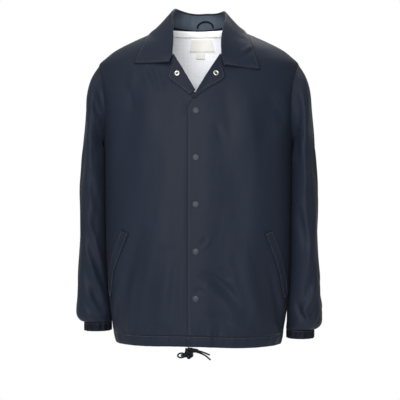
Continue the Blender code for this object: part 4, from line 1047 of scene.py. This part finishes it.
def braided(name, routes, diameter, closed=False):
    """Braided tubes along routes in millimetres, joined in one piece."""
    points, faces = [], []
    for route in routes:
        route = np.array(route, float)
        line = evenly(route, max(8, round(travelled(route)[-1] / BRAID_STEP)))
        along = unit(np.gradient(line, axis=0))
        side = unit(np.cross(along, BRAID_FRAME))
        over = np.cross(along, side)
        start, count = len(points), len(line)
        swing = np.arange(BRAID_AROUND) * math.tau / BRAID_AROUND
        for k in range(count):
            twist = 2 * k * BRAID_STEP / diameter * BRAID_TURN
            strands = BRAID_STRANDS * swing
            lift = 1 + BRAID_LIFT * np.sin(strands + twist) * np.sin(strands - twist)
            end = min(k, count - 1 - k) * BRAID_STEP / (diameter * END_ROUNDING)
            radius = diameter / 2 * lift * (1 if closed else min(1, math.sqrt(max(0.04, end))))
            spokes = np.cos(swing)[:, None] * side[k] + np.sin(swing)[:, None] * over[k]
            points.extend(((line[k] + radius[:, None] * spokes) * MM).tolist())
        for k in range(count - 1):
            for j in range(BRAID_AROUND):
                a, b = start + k * BRAID_AROUND + j, start + k * BRAID_AROUND + (j + 1) % BRAID_AROUND
                faces.append((a, a + BRAID_AROUND, b + BRAID_AROUND, b))
        faces.append(tuple(start + j for j in range(BRAID_AROUND)))
        faces.append(tuple(start + (count - 1) * BRAID_AROUND + j for j in reversed(range(BRAID_AROUND))))
    made = built(name, points, faces, CORD)
    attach(made, "root")
    return made


def path_of(route):
    return (evenly(route, PATH_POINTS) * MM).tolist()


def path_length(path):
    return round(float(travelled(path)[-1]), 4)


KNOT_MIDDLE = np.array((-15.5, -143.0, -761.0))
KNOT_REACH = np.array((7.8, 4.0, 9.2)) / 3
turns = np.linspace(0, math.tau, 49)
trefoil = np.stack([np.sin(turns) + 2 * np.sin(2 * turns), -np.sin(3 * turns) * 2.2,
                    np.cos(turns) - 2 * np.cos(2 * turns)], -1)
KNOT_ROUTES = [
    KNOT_MIDDLE + trefoil * KNOT_REACH,
    ((-10, -141.5, -747), (-10, -142, -751), (-12, -143, -756), (-14, -143.5, -760)),
    ((-15, -141.5, -747), (-16, -142.5, -751), (-18, -143.5, -756), (-20, -143.5, -761)),
    ((-20, -146, -755), (-15, -148, -757), (-10, -146.5, -760), (-8, -143, -764), (-11, -140, -768)),
    ((-7, -143, -748.5), (-8, -144, -753), (-9, -144, -758)),
    ((-20, -143.5, -750.8), (-12, -144.5, -750.6), (-3, -145.5, -751), (5, -146.2, -752.6)),
    ((-21, -143, -748), (-21.5, -144, -753), (-21, -144, -758)),
    ((-20, -143, -763.5), (-26, -144.2, -764), (-33.5, -145.3, -764.2)),
    ((-9, -145, -753), (-1, -145.3, -754), (7, -145.8, -755.8), (14, -146.2, -758.2)),
]
knot = braided("braided_drawcord_knot", KNOT_ROUTES, KNOT_STRAND, closed=True)
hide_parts("drawcord_knot")
CORD_FACTS = {"drawcord_end_lower": "bare", "drawcord_end_upper": "bare", "drawcord_bow": "object"}
for node, far_end in CORD_FACTS.items():
    before, after = INTO_KNOT[node]
    route = before + CORD_ROUTES[node] + after
    cord = braided("braided_" + node, [route], CORD_DIAMETER)
    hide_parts(node)
    path = path_of(route)
    print(node, "length", path_length(path))

# %% [markdown]
# The hanger loop is the same braid, a little thicker, with both feet at the neck seam. It lies on
# the stand's cloth, which is found by looking straight back at it from each point of the route.

# %% Braid the hanger loop
HANGER_CLEAR = 0.5
HANGER_ROUTE = ((-6, -1.5), (-5.4, 3), (-1.5, 8.5), (5, 12.4), (13, 13.8), (21, 12.4), (27.5, 8.5),
                (31.4, 3), (32, -1.5))
stand = CLOTH["collar_stand"]
hanger_route = []
for x, z in HANGER_ROUTE:
    _, place, _, _ = stand.ray_cast(Vector((x * MM, 0, z * MM)), Vector((0, 1, 0)))
    hanger_route.append((x, place.y / MM - HANGER_DIAMETER / 2 - HANGER_CLEAR, z))
hanger = braided("braided_hanger_loop", [hanger_route], HANGER_DIAMETER, closed=True)
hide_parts("hanger_loop")
path = path_of(hanger_route)
print("hanger loop", path_length(path))

# %% [markdown]
# The photo is lit softly, a little more from the camera's left, on pure white. Three broad lamps
# and a white surround do that. The third hangs high, so that it doesn't graze the shoulders from
# behind. The surround is bright where the camera sees it and dimmer as a light, so that the cloth
# keeps its shading.

# %% Light the jacket
FLOOR_Z = -1.45
FLOOR_RADIUS = 2.6
FLOOR_SIDES = 96
LAMP_AIM = Vector((0, 0, -0.4))
LAMPS = {
    # name: place, width of its disk, power
    "front": ((-0.3, -3.6, 0.35), 2.8, 172),
    "high": ((-1.2, -1.9, 2.0), 2.0, 44),
    "rear": ((0.2, 1.8, 3.0), 2.2, 190),
}
SURROUND_LIGHT = 0.54
SURROUND_SEEN = 1.0


def lamp(name, place, size, power):
    light = bpy.data.lights.new(name, "AREA")
    light.shape = "DISK"
    light.size = size
    light.energy = power
    made = shown(bpy.data.objects.new(name, light))
    made.location = place
    made.rotation_euler = (LAMP_AIM - Vector(place)).to_track_quat("-Z", "Y").to_euler()


for name, facts in LAMPS.items():
    lamp(name, *facts)

world = bpy.data.worlds.new("surround")
bpy.context.scene.world = world
world.use_nodes = True
surround = world.node_tree
dim, bright = surround.nodes["Background"], surround.nodes.new("ShaderNodeBackground")
path_kind = surround.nodes.new("ShaderNodeLightPath")
either = surround.nodes.new("ShaderNodeMixShader")
surround.links.new(path_kind.outputs["Is Camera Ray"], either.inputs[0])
for node, strength, way_in in ((dim, SURROUND_LIGHT, 1), (bright, SURROUND_SEEN, 2)):
    node.inputs["Color"].default_value = (1, 1, 1, 1)
    node.inputs["Strength"].default_value = strength
    surround.links.new(node.outputs[0], either.inputs[way_in])
surround.links.new(either.outputs[0], surround.nodes["World Output"].inputs[0])
bpy.context.scene.view_settings.view_transform = "Standard"

bpy.ops.mesh.primitive_circle_add(vertices=FLOOR_SIDES, radius=FLOOR_RADIUS, fill_type="NGON",
                                  location=(0, 0, FLOOR_Z))
floor = bpy.context.object
floor.name = "floor"
PALE = plain_finish("pale_floor", shade(228, 228, 228), shade(236, 236, 236), 0.8, 3.0, 0.5 * MM)
floor.data.materials.append(PALE)
